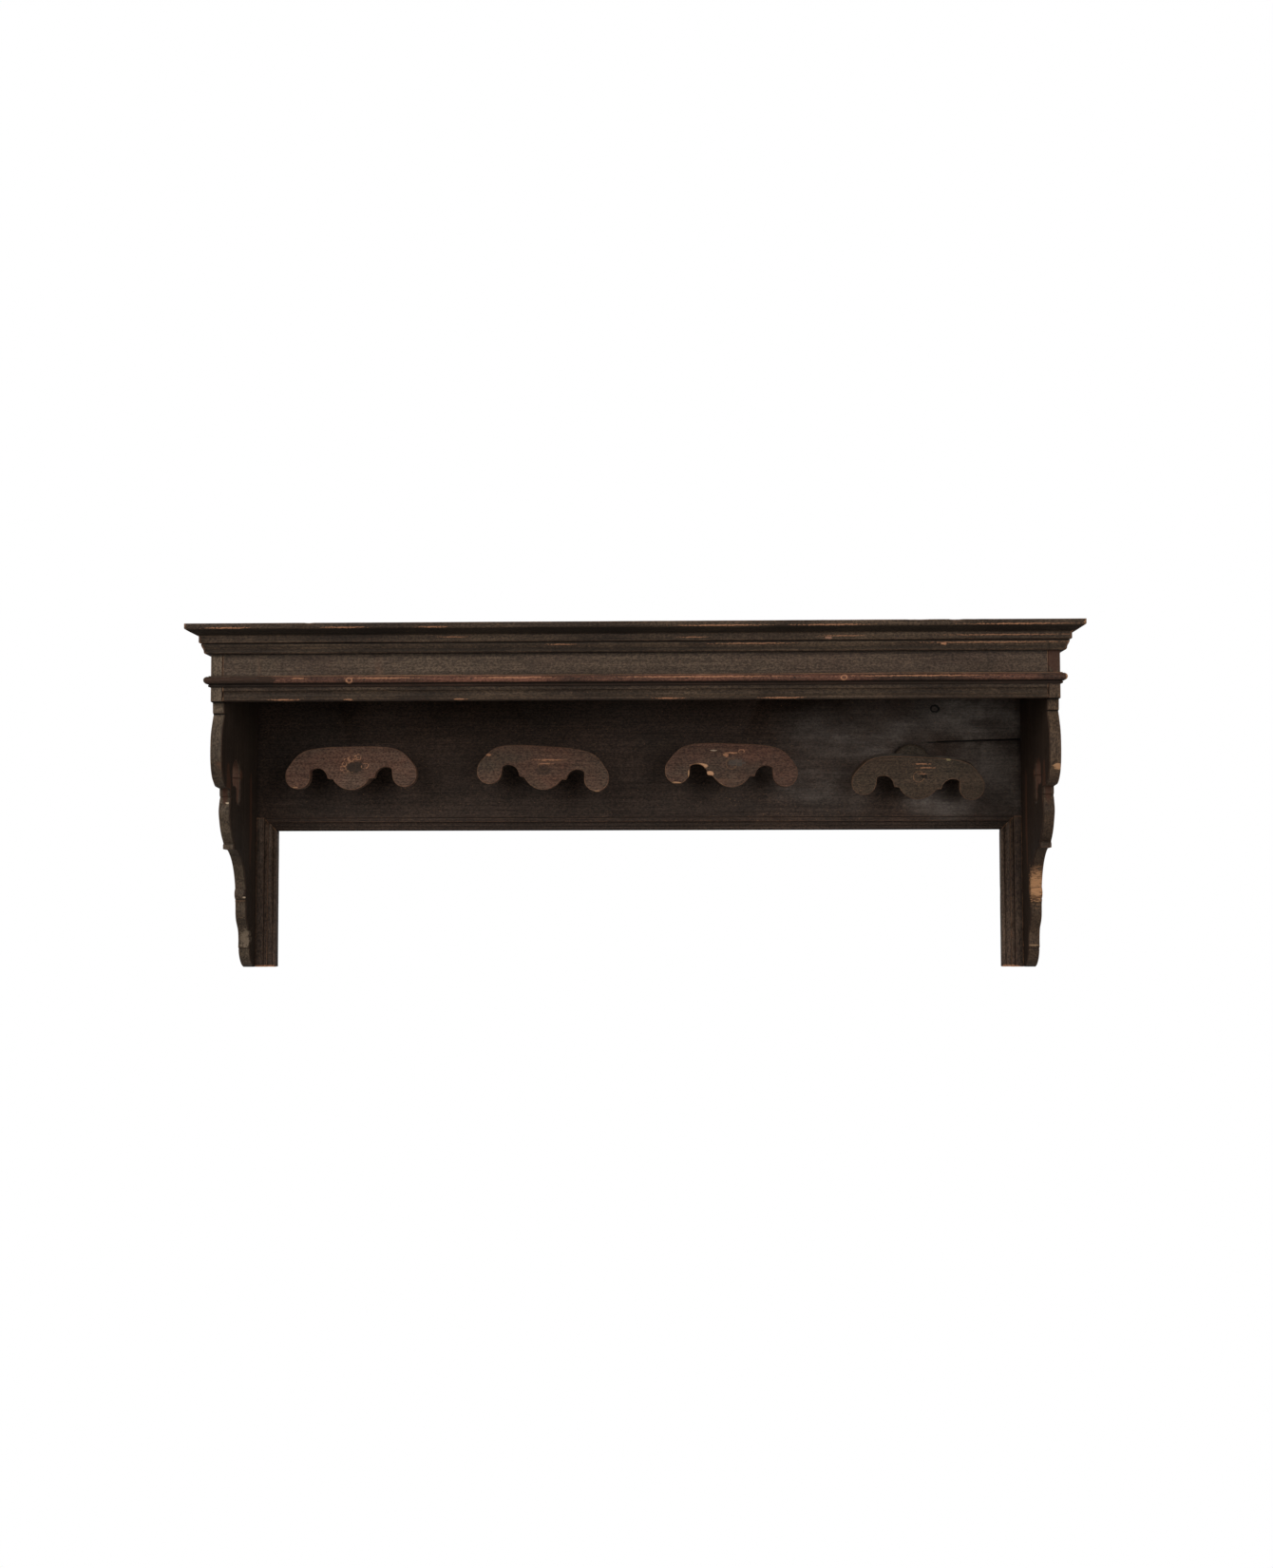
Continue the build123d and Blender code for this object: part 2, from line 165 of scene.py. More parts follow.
FLOOR_LEVEL = -3.0
SWEEP_BEHIND = 4.2
SWEEP_RISE = 6.0
FOLD_RADIUS = 1.2
pale = bpy.data.materials.new("pale_studio_paint")
tree = empty_tree(pale)
paint = add(tree, "BsdfDiffuse", {"Color": (0.8, 0.8, 0.8, 1)})
lit = add(tree, "Emission", {"Color": (1, 1, 1, 1), "Strength": 1.0})
by_eye = add(tree, "LightPath").outputs["Is Camera Ray"]
pale_mix = add(tree, "MixShader", {0: by_eye, 1: paint.outputs[0], 2: lit.outputs[0]})
add(tree, "OutputMaterial", {"Surface": pale_mix.outputs[0]})

sweep = bmesh.new()
bmesh.ops.create_grid(sweep, x_segments=1, y_segments=1, size=SWEEP_BEHIND)
bmesh.ops.translate(sweep, verts=sweep.verts, vec=(0, 0, FLOOR_LEVEL))
far_edge = [e for e in sweep.edges if all(v.co.y > 0 for v in e.verts)]
risen = bmesh.ops.extrude_edge_only(sweep, edges=far_edge)["geom"]
top = [v for v in risen if isinstance(v, bmesh.types.BMVert)]
bmesh.ops.translate(sweep, verts=top, vec=(0, 0, SWEEP_RISE))
fold = [e for e in sweep.edges if len(e.link_faces) == 2]
bmesh.ops.bevel(
    sweep, geom=fold, affect="EDGES", offset=FOLD_RADIUS, segments=12, profile=0.5, material=-1
)
sweep_mesh = bpy.data.meshes.new("studio_sweep")
sweep.to_mesh(sweep_mesh)
sweep.free()
sweep_mesh.materials.append(pale)
studio_sweep = bpy.data.objects.new("studio_sweep", sweep_mesh)
bpy.context.scene.collection.objects.link(studio_sweep)
print("studio: 4 lamps, sky at", SKY_STRENGTH, "and a sweep", SWEEP_BEHIND, "m behind")

# %% [markdown]
# ## Shader groups shared by all the wood
# Every board shows the same things at different strengths: grain, arrises rubbed down to bare wood,
# and small marks of age. Here and there one has a damaged place, a grey cloud in its polish or a
# ring round a peg or a knot. Each of these six is a node group, made once. They work on Object
# coordinates, so the pattern is at real scale on every board.

# %% Helpers for node groups
def group(name, inputs, outputs):
    """An empty node group with named sockets; returns its tree and both rows of sockets."""
    tree = bpy.data.node_groups.new(name, "ShaderNodeTree")
    for label, kind, value in inputs:
        made = tree.interface.new_socket(label, in_out="INPUT", socket_type="NodeSocket" + kind)
        if value is not None:
            made.default_value = value
    for label, kind in outputs:
        tree.interface.new_socket(label, in_out="OUTPUT", socket_type="NodeSocket" + kind)
    given = tree.nodes.new("NodeGroupInput").outputs
    return tree, given, tree.nodes.new("NodeGroupOutput").inputs


def use(tree, name, inputs):
    """Place a node group in a material."""
    made = tree.nodes.new("ShaderNodeGroup")
    made.node_tree = bpy.data.node_groups[name]
    fill(tree, made, inputs)
    return made.outputs


def maths(tree, operation, a, b=0.0, clamp=False):
    """One arithmetic step; returns its result."""
    return add(tree, "Math", {0: a, 1: b}, operation=operation, use_clamp=clamp).outputs[0]


def times(tree, a, b, clamp=False):
    """The product of two values."""
    return maths(tree, "MULTIPLY", a, b, clamp)


def vector_step(tree, operation, a, b):
    """One step of vector arithmetic; returns its result."""
    return add(tree, "VectorMath", {0: a, 1: b}, operation=operation).outputs[0]


def length(tree, vector):
    """How long a vector is."""
    return add(tree, "VectorMath", {0: vector}, operation="LENGTH").outputs["Value"]


def stretch(tree, value, low, high, to_low=0.0, to_high=1.0):
    """Smoothly spreads the values from low to high over a new range."""
    inputs = {"Value": value, "From Min": low, "From Max": high, "To Min": to_low, "To Max": to_high}
    return add(tree, "MapRange", inputs, interpolation_type="SMOOTHSTEP").outputs["Result"]


def tint(tree, factor, a, b):
    """Blends two colours by a factor."""
    a, b = ((*colour, 1.0) if isinstance(colour, tuple) else colour for colour in (a, b))
    return add(tree, "Mix", {0: factor, 6: a, 7: b}, data_type="RGBA").outputs[2]


def scaled(tree, vector, factors):
    """A vector with each part multiplied, to draw a pattern out along the grain."""
    return add(tree, "Mapping", {"Vector": vector, "Scale": factors}).outputs[0]


def speckle(tree, vector, scale, detail=2.0, roughness=0.5):
    """Plain noise, from 0 to 1."""
    inputs = {"Vector": vector, "Scale": scale, "Detail": detail, "Roughness": roughness}
    return add(tree, "TexNoise", inputs).outputs[0]


def both_sides(tree, noise_value):
    """Noise moved to lie round 0, so that it pushes a border both ways."""
    return maths(tree, "SUBTRACT", noise_value, 0.5)


def round_a_centre(tree, given):
    """The way from a mark's centre, and its length counted in reaches."""
    away = vector_step(tree, "SUBTRACT", given["Vector"], given["Centre"])
    share = vector_step(tree, "DIVIDE", away, given["Reach"])
    return away, length(tree, share)


# %% [markdown]
# **Grain.** Grain runs along X here; a board whose grain runs another way turns its coordinates
# first. Rings are circles round a far-off pith, seen as slow bands on a flat-sawn face. Fibre is
# noise drawn out sixty times longer than it is wide, and pores are its darkest short dashes.

# %% Group: wood grain
tree, given, out = group(
    "Wood grain",
    [("Vector", "Vector", None), ("Seed", "Float", 0.0), ("Ring Scale", "Float", 22.0)],
    [("Figure", "Float"), ("Fibre", "Float"), ("Pores", "Float")],
)
seed = given["Seed"]
moved = add(tree, "CombineXYZ", {0: seed, 1: seed, 2: 0.11}).outputs[0]
place = vector_step(tree, "ADD", given["Vector"], moved)
slow = scaled(tree, place, (0.6, 3.0, 3.0))
waver = add(tree, "TexNoise", {"Vector": slow, "Scale": 2.4, "Detail": 3.0}).outputs[1]
bent = vector_step(tree, "MULTIPLY", waver, (0.045, 0.045, 0.045))
bent = vector_step(tree, "ADD", place, bent)
rings = add(
    tree,
    "TexWave",
    {"Vector": bent, "Scale": given["Ring Scale"], "Distortion": 2.5, "Detail": 2.0},
    wave_type="RINGS",
    rings_direction="X",
).outputs["Fac"]
fibre = speckle(tree, scaled(tree, place, (6.0, 380.0, 380.0)), 1.0, 5.0, 0.62)
pores = speckle(tree, scaled(tree, place, (26.0, 1500.0, 1500.0)), 1.0, 1.0)
tree.links.new(rings, out["Figure"])
tree.links.new(fibre, out["Fibre"])
tree.links.new(stretch(tree, pores, 0.6, 0.72), out["Pores"])
print("group: Wood grain")

# %% [markdown]
# ** Worn arrises, grime and painted shade in corners.** Rays sent a few millimetres into the wood find its surface
# again only near an outer corner, so that share marks every arris without hand painting. Rays sent
# outwards find other wood only near an inner corner, where grime gathers and where shade falls: the
# darkening there is partly grime and partly painted shade. Coarse noise decides which
# stretches were handled, and fine noise makes their borders ragged.

# %% Group: worn arrises
tree, given, out = group(
    "Worn arrises",
    [
        ("Vector", "Vector", None),
        ("Reach", "Float", 0.003),
        ("Amount", "Float", 0.5),
        ("Patchiness", "Float", 0.6),
    ],
    [("Bare", "Float"), ("Rubbed", "Float"), ("Grime And Shade", "Float")],
)
into = add(
    tree, "AmbientOcclusion", {"Distance": given["Reach"]},
    samples=8, inside=True, only_local=True,
)
outward = add(tree, "AmbientOcclusion", {"Distance": 0.014}, samples=8)
edge = stretch(tree, into.outputs["AO"], 0.93, 0.62)
handled = speckle(tree, given["Vector"], 7.0, 6.0, 0.68)
ragged = speckle(tree, given["Vector"], 210.0, 3.0, 0.6)
wish = times(tree, both_sides(tree, handled), given["Patchiness"])
wish = maths(tree, "ADD", wish, given["Amount"])
wish = maths(tree, "ADD", wish, times(tree, both_sides(tree, ragged), 0.9))
worn = add(tree, "Attribute", attribute_name="worn").outputs["Fac"]
reach = maths(tree, "MAXIMUM", edge, worn)
both = times(tree, reach, wish)
# Grime and painted shade: darker wherever outward rays meet other wood, in creases and corners.
grime_and_shade = stretch(tree, outward.outputs["AO"], 0.93, 0.50)
grime_and_shade = times(tree, grime_and_shade, stretch(tree, ragged, 0.25, 0.6, 0.55, 1.0))
tree.links.new(stretch(tree, both, 0.40, 0.60), out["Bare"])
tree.links.new(stretch(tree, both, 0.04, 0.45), out["Rubbed"])
tree.links.new(grime_and_shade, out["Grime And Shade"])
print("group: Worn arrises")

# %% [markdown]
# **Marks of age.** Slow cloudy blotches where the stain took unevenly, a grit of old polish and
# grime as fine as sand, pinhead specks of bare wood, short scratches that mostly follow the grain,
# and a height for shallow dents.

# %% Group: age marks
tree, given, out = group(
    "Age marks",
    [("Vector", "Vector", None), ("Seed", "Float", 0.0)],
    [(label, "Float") for label in ("Blotches", "Grit", "Specks", "Scratches", "Dents")],
)
seed = given["Seed"]
moved = add(tree, "CombineXYZ", {0: seed, 1: 0.0, 2: seed}).outputs[0]
place = vector_step(tree, "ADD", given["Vector"], moved)
blotches = speckle(tree, scaled(tree, place, (0.55, 1.0, 1.0)), 9.0, 5.0, 0.62)
grit = speckle(tree, scaled(tree, place, (0.55, 1.0, 1.0)), 430.0, 4.0, 0.8)
specks = speckle(tree, scaled(tree, place, (0.7, 1.0, 1.0)), 420.0, 2.0, 0.6)
scratches = speckle(tree, scaled(tree, place, (14.0, 300.0, 420.0)), 1.0, 2.0, 0.7)
dents = speckle(tree, place, 46.0, 3.0, 0.5)
tree.links.new(stretch(tree, blotches, 0.3, 0.72), out["Blotches"])
tree.links.new(stretch(tree, grit, 0.34, 0.66), out["Grit"])
tree.links.new(stretch(tree, specks, 0.66, 0.76), out["Specks"])
tree.links.new(stretch(tree, scratches, 0.68, 0.8), out["Scratches"])
tree.links.new(dents, out["Dents"])
print("group: Age marks")

# %% [markdown]
# **A marked place.** One damaged or rubbed spot: an egg-shaped region with a ragged border. The
# distance from its centre is measured in units of its reach, and noise drawn out along the grain
# eats into the border.

# %% Group: marked place
tree, given, out = group(
    "Marked place",
    [
        ("Vector", "Vector", None),
        ("Centre", "Vector", None),
        ("Reach", "Vector", None),
        ("Raggedness", "Float", 0.6),
        ("Streaks", "Vector", None),
    ],
    [("Mask", "Float")],
)
away, far = round_a_centre(tree, given)
drawn = vector_step(tree, "MULTIPLY", away, given["Streaks"])
bites = both_sides(tree, speckle(tree, drawn, 1.0, 4.0, 0.7))
bites = times(tree, bites, given["Raggedness"])
far = maths(tree, "ADD", far, times(tree, bites, 4.0))
tree.links.new(stretch(tree, far, 1.05, 0.85), out["Mask"])
print("group: Marked place")

# %% [markdown]
# ** A soft patch.** A region without any border: full at its centre and fading out evenly, pushed
# about by slow noise so that it never looks like an egg. On the back board such clouds are partly a
# grey bloom of old polish and partly a painted sheen.

# %% Group: soft patch
tree, given, out = group(
    "Soft patch",
    [
        ("Vector", "Vector", None),
        ("Centre", "Vector", None),
        ("Reach", "Vector", None),
        ("Waver", "Float", 0.5),
    ],
    [("Mask", "Float")],
)
away, far = round_a_centre(tree, given)
cloud = speckle(tree, scaled(tree, away, (0.6, 1.0, 1.5)), 11.0, 5.0, 0.6)
push = times(tree, both_sides(tree, cloud), times(tree, given["Waver"], 4.0))
far = maths(tree, "ADD", far, push)
tree.links.new(stretch(tree, far, 1.25, 0.1), out["Mask"])
print("group: Soft patch")

# %% [markdown]
# **A ring mark.** A thin broken ring on a face seen from the front: the edge of a knot, or a curl
# where a turning peg scraped the stain away.

# %% Group: ring mark
tree, given, out = group(
    "Ring mark",
    [
        ("Vector", "Vector", None),
        ("Centre", "Vector", None),
        ("Radius", "Float", 0.005),
        ("Line", "Float", 0.001),
        ("Broken", "Float", 1.0),
    ],
    [("Mask", "Float")],
)
away = vector_step(tree, "SUBTRACT", given["Vector"], given["Centre"])
flat = vector_step(tree, "MULTIPLY", away, (1.0, 0.0, 1.25))
far = length(tree, flat)
wander = both_sides(tree, speckle(tree, given["Vector"], 160.0, 2.0))
wander = times(tree, wander, times(tree, given["Radius"], 0.9))
off = maths(tree, "SUBTRACT", maths(tree, "ADD", far, wander), given["Radius"])
thin = maths(tree, "DIVIDE", maths(tree, "ABSOLUTE", off), given["Line"])
gaps = stretch(tree, speckle(tree, given["Vector"], 170.0, 2.0), 0.42, 0.54)
whole = maths(tree, "SUBTRACT", 1.0, given["Broken"])
kept = maths(tree, "MAXIMUM", gaps, whole)
tree.links.new(times(tree, stretch(tree, thin, 1.1, 0.5), kept), out["Mask"])
print("group: Ring mark")

# %% [markdown]
# ## The wood finishes
# One function makes every stained finish from the groups above, so the boards belong together: same
# bare wood under the stain, same grain, different stain strength, wear and damage. The stain is
# darkened in the pores, darkened in inner corners by grime and painted shade, warmed where it has
# been rubbed thin, and gone where the wood is bare. Surfaces that face up carry a little grey dust,
# and grey clouds hide the stain: partly a bloom in the polish, partly a painted sheen of light.

# %% Colours and gloss
# GRIME_AND_SHADE darkens pores and joints as dirt, and coves, quirks and inner corners as painted
# shade.
GRIME_AND_SHADE = (0.012, 0.0085, 0.006)
BLACK_BROWN = (0.0305, 0.0190, 0.0125)
OLIVE_BROWN = (0.079, 0.0510, 0.0318)
THIN_STAIN = (0.155, 0.074, 0.042)
BARE_WOOD = (0.52, 0.285, 0.150)
PALE_SPLIT = (0.62, 0.47, 0.33)
ORANGE = (0.50, 0.235, 0.125)
DUST = (0.20, 0.18, 0.155)
# HAZE_AND_SHEEN: grey of a bloom in old polish, also standing in for a painted sheen of light.
HAZE_AND_SHEEN = (0.245, 0.205, 0.178)
# SPLIT_SHADE_COLOUR: painted shade, near black, inside the drying split.
SPLIT_SHADE_COLOUR = (0.002, 0.0015, 0.001)
ALONG_X = (0.0, 0.0, 0.0)
ALONG_Y = (0.0, 0.0, math.radians(-90))
ALONG_Z = (0.0, math.radians(90), 0.0)
GLOSS = 0.2  # how strongly old polish mirrors: less than half of fresh varnish


# %% Stained wood
def shade(tree, colour, low, high, factor):
    """Darkens or lightens a colour as factor goes from 0 to 1."""
    return scaled_colour(tree, colour, stretch(tree, factor, 0.25, 0.75, low, high))


def scaled_colour(tree, colour, amount):
    """A colour made lighter or darker by an amount."""
    inputs = {0: colour, "Scale": amount}
    return add(tree, "VectorMath", inputs, operation="SCALE").outputs[0]


def stained_wood(
    name, stain, warm, seed, turn=ALONG_X, wear=0.5, patchiness=0.7, reach=0.0024,
    shine=0.58, places=(), rings=(), haze_and_sheen=(), split=False,
):
    """Old stained wood. Lengths are in metres. places are (centre, reach, raggedness, streaks,
    colour, strength), rings are (centre, radius, line, broken, colour, strength), and
    haze_and_sheen is (centre, reach, strength): grey clouds, partly a bloom in the polish and
    partly a painted sheen of light."""
    material = bpy.data.materials.new(name)
    tree = empty_tree(material)
    where = add(tree, "TexCoord").outputs["Object"]
    along = add(tree, "Mapping", {"Vector": where, "Rotation": turn}).outputs[0]
    grain = use(tree, "Wood grain", {"Vector": along, "Seed": seed})
    inputs = {"Vector": where, "Reach": reach, "Amount": wear, "Patchiness": patchiness}
    worn = use(tree, "Worn arrises", inputs)
    age = use(tree, "Age marks", {"Vector": along, "Seed": seed})

    colour = tint(tree, age["Blotches"], stain, warm)
    colour = shade(tree, colour, 0.76, 1.27, grain["Fibre"])
    colour = shade(tree, colour, 0.93, 1.07, grain["Figure"])
    colour = tint(tree, times(tree, grain["Pores"], 0.5), colour, GRIME_AND_SHADE)
    colour = scaled_colour(tree, colour, stretch(tree, age["Grit"], 0.0, 1.0, 0.5, 1.52))
    # Grey clouds: partly a bloom of old polish, partly a painted sheen.
    bloom_and_sheen = 0.0
    for centre, size, strength in haze_and_sheen:
        inputs = {"Vector": where, "Centre": centre, "Reach": size, "Waver": 0.35}
        cloud = use(tree, "Soft patch", inputs)["Mask"]
        bloom_and_sheen = maths(tree, "MAXIMUM", bloom_and_sheen, times(tree, cloud, strength))
    if haze_and_sheen:
        bloom_and_sheen = times(tree, bloom_and_sheen, stretch(tree, grain["Fibre"], 0.34, 0.66, 0.72, 1.0))
        bloom_and_sheen = times(tree, bloom_and_sheen, stretch(tree, age["Grit"], 0.0, 1.0, 0.65, 1.15))
        patchy = speckle(tree, scaled(tree, along, (0.6, 1.0, 1.4)), 19.0, 5.0, 0.66)
        bloom_and_sheen = times(tree, bloom_and_sheen, stretch(tree, patchy, 0.34, 0.64, 0.35, 1.25), clamp=True)
        colour = tint(tree, bloom_and_sheen, colour, HAZE_AND_SHEEN)
    raw = tint(tree, grain["Fibre"], BARE_WOOD, THIN_STAIN)
    raw = shade(tree, raw, 0.75, 1.2, grain["Figure"])
    colour = tint(tree, times(tree, age["Specks"], 0.5), colour, raw)
    colour = tint(tree, times(tree, age["Scratches"], 0.3), colour, THIN_STAIN)
    colour = tint(tree, times(tree, worn["Rubbed"], 0.55), colour, THIN_STAIN)
    # Inner corners darkened: partly grime, partly painted shade.
    colour = tint(tree, times(tree, worn["Grime And Shade"], 0.75), colour, GRIME_AND_SHADE)
    bare = worn["Bare"]
    colour = tint(tree, times(tree, bare, 0.85), colour, raw)
    for centre, size, ragged, streaks, tone, strength in places:
        inputs = {"Vector": where, "Centre": centre, "Reach": size}
        inputs |= {"Raggedness": ragged, "Streaks": streaks}
        mask = use(tree, "Marked place", inputs)["Mask"]
        colour = tint(tree, times(tree, mask, strength), colour, tone)
        bare = maths(tree, "MAXIMUM", bare, times(tree, mask, strength * 0.6))
    for centre, radius, line, broken, tone, strength in rings:
        inputs = {"Vector": where, "Centre": centre, "Radius": radius}
        inputs |= {"Line": line, "Broken": broken}
        mask = use(tree, "Ring mark", inputs)["Mask"]
        colour = tint(tree, times(tree, mask, strength), colour, tone)
    # Painted shade: the inside of the split darkened nearly to black.
    if split:
        depth = add(tree, "Attribute", attribute_name="split").outputs["Fac"]
        colour = tint(tree, stretch(tree, depth, 0.05, 0.45), colour, SPLIT_SHADE_COLOUR)
    normal = add(tree, "NewGeometry").outputs["Normal"]
    upward = stretch(tree, add(tree, "SeparateXYZ", {0: normal}).outputs["Z"], 0.7, 0.98)
    settled = times(tree, upward, stretch(tree, age["Dents"], 0.3, 0.7, 0.15, 0.5))
    colour = tint(tree, settled, colour, DUST)

    dull = stretch(tree, grain["Fibre"], 0.3, 0.7, shine + 0.1, shine - 0.06)
    dull = maths(tree, "ADD", dull, times(tree, bare, 0.28), clamp=True)
    dull = maths(tree, "SUBTRACT", dull, times(tree, bloom_and_sheen, 0.22))
    dull = maths(tree, "ADD", dull, times(tree, settled, 0.3), clamp=True)
    height = times(tree, grain["Fibre"], 0.4)
    height = maths(tree, "ADD", height, times(tree, age["Grit"], 0.3))
    height = maths(tree, "ADD", height, times(tree, age["Dents"], 0.9))
    height = maths(tree, "SUBTRACT", height, times(tree, grain["Pores"], 0.35))
    height = maths(tree, "SUBTRACT", height, times(tree, bare, 0.4))
    bump = add(tree, "Bump", {"Strength": 0.4, "Distance": 0.0012, "Height": height}).outputs[0]
    inputs = {"Base Color": colour, "Roughness": dull, "Specular IOR Level": GLOSS, "Normal": bump}
    surface = add(tree, "BsdfPrincipled", inputs)
    add(tree, "OutputMaterial", {"Surface": surface.outputs[0]})
    return material


def plain_pine(name, turn):
    """Unstained softwood that never saw daylight."""
    material = bpy.data.materials.new(name)
    tree = empty_tree(material)
    where = add(tree, "TexCoord").outputs["Object"]
    along = add(tree, "Mapping", {"Vector": where, "Rotation": turn}).outputs[0]
    grain = use(tree, "Wood grain", {"Vector": along, "Seed": 0.4, "Ring Scale": 34.0})
    age = use(tree, "Age marks", {"Vector": along, "Seed": 0.9})
    colour = tint(tree, grain["Figure"], (0.36, 0.225, 0.12), (0.23, 0.125, 0.06))
    colour = shade(tree, colour, 0.75, 1.15, grain["Fibre"])
    colour = tint(tree, times(tree, age["Blotches"], 0.5), colour, (0.13, 0.085, 0.055))
    height = maths(tree, "ADD", grain["Fibre"], age["Dents"])
    bump = add(tree, "Bump", {"Strength": 0.3, "Distance": 0.001, "Height": height}).outputs[0]
    dull = stretch(tree, grain["Fibre"], 0.3, 0.7, 0.8, 0.62)
    surface = add(tree, "BsdfPrincipled", {"Base Color": colour, "Roughness": dull, "Normal": bump})
    add(tree, "OutputMaterial", {"Surface": surface.outputs[0]})
    return material


def old_iron(name):
    """Cut nails and screws: dull iron with a bloom of rust."""
    material = bpy.data.materials.new(name)
    tree = empty_tree(material)
    where = add(tree, "TexCoord").outputs["Object"]
    cloud = speckle(tree, where, 320.0, 4.0, 0.65)
    rust = stretch(tree, cloud, 0.45, 0.62)
    colour = tint(tree, rust, (0.035, 0.032, 0.03), (0.085, 0.036, 0.018))
    dull = stretch(tree, cloud, 0.4, 0.65, 0.42, 0.85)
    metal = stretch(tree, cloud, 0.62, 0.45)
    bump = add(tree, "Bump", {"Strength": 0.4, "Distance": 0.0004, "Height": cloud}).outputs[0]
    inputs = {"Base Color": colour, "Roughness": dull, "Metallic": metal, "Normal": bump}
    surface = add(tree, "BsdfPrincipled", inputs)
    add(tree, "OutputMaterial", {"Surface": surface.outputs[0]})
    return material


# %% [markdown]
# ## Making a board from its drawing
# A board's section is cut from its CAD node by a plane, its nail holes are dropped, and the section
# is drawn out again to its length. Along the way its square corners are rounded a little, its length
# is divided finely, and every point is nudged by smooth noise; points on outer corners are knocked in
# here and there, and remember it in an attribute named worn, which the finish turns into bare wood.

# %% Cutting a section
noise.seed_set(7)  # without a seed of its own the noise would differ from run to run
HOLE_SIZE = 0.025  # loops smaller than this are nail and screw holes
ON_PLANE = 1e-7  # points this near to a cutting plane lie on it
NEARLY_STRAIGHT = math.radians(0.8)


def merged_copy(node):
    """A bmesh of a CAD node with its loose triangles joined."""
    bm = bmesh.new()
    bm.from_mesh(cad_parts[node].data)
    bmesh.ops.remove_doubles(bm, verts=bm.verts, dist=1e-6)
    return bm


def loops(bm):
    """The separate closed loops of edges, each as a list of vertices."""
    left = set(bm.verts)
    found = []
    while left:
        loop = [left.pop()]
        for v in loop:
            for e in v.link_edges:
                other = e.other_vert(v)
                if other in left:
                    left.remove(other)
                    loop.append(other)
        found.append(loop)
    return sorted(found, key=spread, reverse=True)


def spread(loop):
    """How far a loop reaches from its first vertex."""
    return max((v.co - loop[0].co).length for v in loop)


def section(bm, point, normal):
    """Cuts bm down to its outline on a plane, drops small holes and needless points, and fills it."""
    bmesh.ops.bisect_plane(
        bm, geom=everything_in(bm), dist=ON_PLANE, plane_co=point, plane_no=normal,
        clear_inner=True, clear_outer=True,
    )
    bmesh.ops.remove_doubles(bm, verts=bm.verts, dist=2e-5)
    for loop in loops(bm)[1:]:
        if spread(loop) < HOLE_SIZE:
            bmesh.ops.delete(bm, geom=loop, context="VERTS")
    straight = [v for v in bm.verts if len(v.link_edges) == 2 and bend(v) < NEARLY_STRAIGHT]
    bmesh.ops.dissolve_verts(bm, verts=straight)
    bmesh.ops.triangle_fill(
        bm, use_beauty=True, use_dissolve=True, edges=bm.edges[:], normal=normal
    )
    return bm


def bend(v):
    """How far the outline turns at a vertex, in radians."""
    a, b = (e.other_vert(v).co - v.co for e in v.link_edges)
    if a.length < 1e-9 or b.length < 1e-9:
        return 0.0
    return math.pi - a.angle(b)


def moved_verts(result):
    """The vertices that an extrusion made."""
    return [v for v in result["geom"] if isinstance(v, bmesh.types.BMVert)]


def everything_in(bm):
    """Everything in a bmesh, for the tools that want it as one list."""
    return bm.verts[:] + bm.edges[:] + bm.faces[:]


# %% Drawing a section out, softening and ageing it
STRIP_CORNER = math.radians(25)  # a section that turns more than this has a corner to soften
STRIP_ROUNDING = 0.0006
STEP = 0.008  # how finely a strip is divided along its length
CROSSWISE = 0.01  # edges that run less than this along a strip lie across it
FRET_ARRIS = math.radians(35)
OUTER_ARRIS = math.radians(20)
SHARP_SHADING = math.radians(24)
WAVER = 0.0002
LEFT_SOUND = 0.525  # noise has to rise above this before a corner is knocked in


def strip(node, along, at, start, end, trims=()):
    """A moulding or board: the node's section at a place along an axis, drawn from start to end."""
    axis = Vector([float(i == along) for i in range(3)])
    bm = section(merged_copy(node), axis * at, axis)
    corners = [v for v in bm.verts if len(v.link_edges) == 2 and bend(v) > STRIP_CORNER]
    bmesh.ops.bevel(
        bm, geom=corners, affect="VERTICES", offset=STRIP_ROUNDING, segments=2, profile=0.5,
        material=-1, clamp_overlap=True,
    )
    bmesh.ops.translate(bm, verts=bm.verts, vec=axis * (start - at))
    drawn = bmesh.ops.extrude_face_region(bm, geom=bm.faces[:])
    bmesh.ops.translate(bm, verts=moved_verts(drawn), vec=axis * (end - start))
    lengthwise = [
        e for e in bm.edges if abs((e.verts[0].co - e.verts[1].co).dot(axis)) > CROSSWISE
    ]
    cuts = round(abs(end - start) / STEP)
    bmesh.ops.subdivide_edges(bm, edges=lengthwise, cuts=cuts, use_grid_fill=True)
    for point, normal in trims:
        trim(bm, point, normal)
    return bm


def trim(bm, point, normal):
    """Saws off what lies beyond a plane, and closes the cut."""
    bmesh.ops.bisect_plane(
        bm, geom=everything_in(bm), dist=ON_PLANE, plane_co=point, plane_no=normal, clear_outer=True
    )
    bmesh.ops.holes_fill(bm, edges=[e for e in bm.edges if e.is_boundary], sides=0)


def broad_normal(bm):
    """The direction that most of a board's surface faces."""
    areas = {}
    for face in bm.faces:
        key = tuple(round(abs(c), 3) for c in face.normal)
        total, normal = areas.get(key, (0.0, face.normal.copy()))
        areas[key] = (total + face.calc_area(), normal)
    return max(areas.values(), key=lambda pair: pair[0])[1]


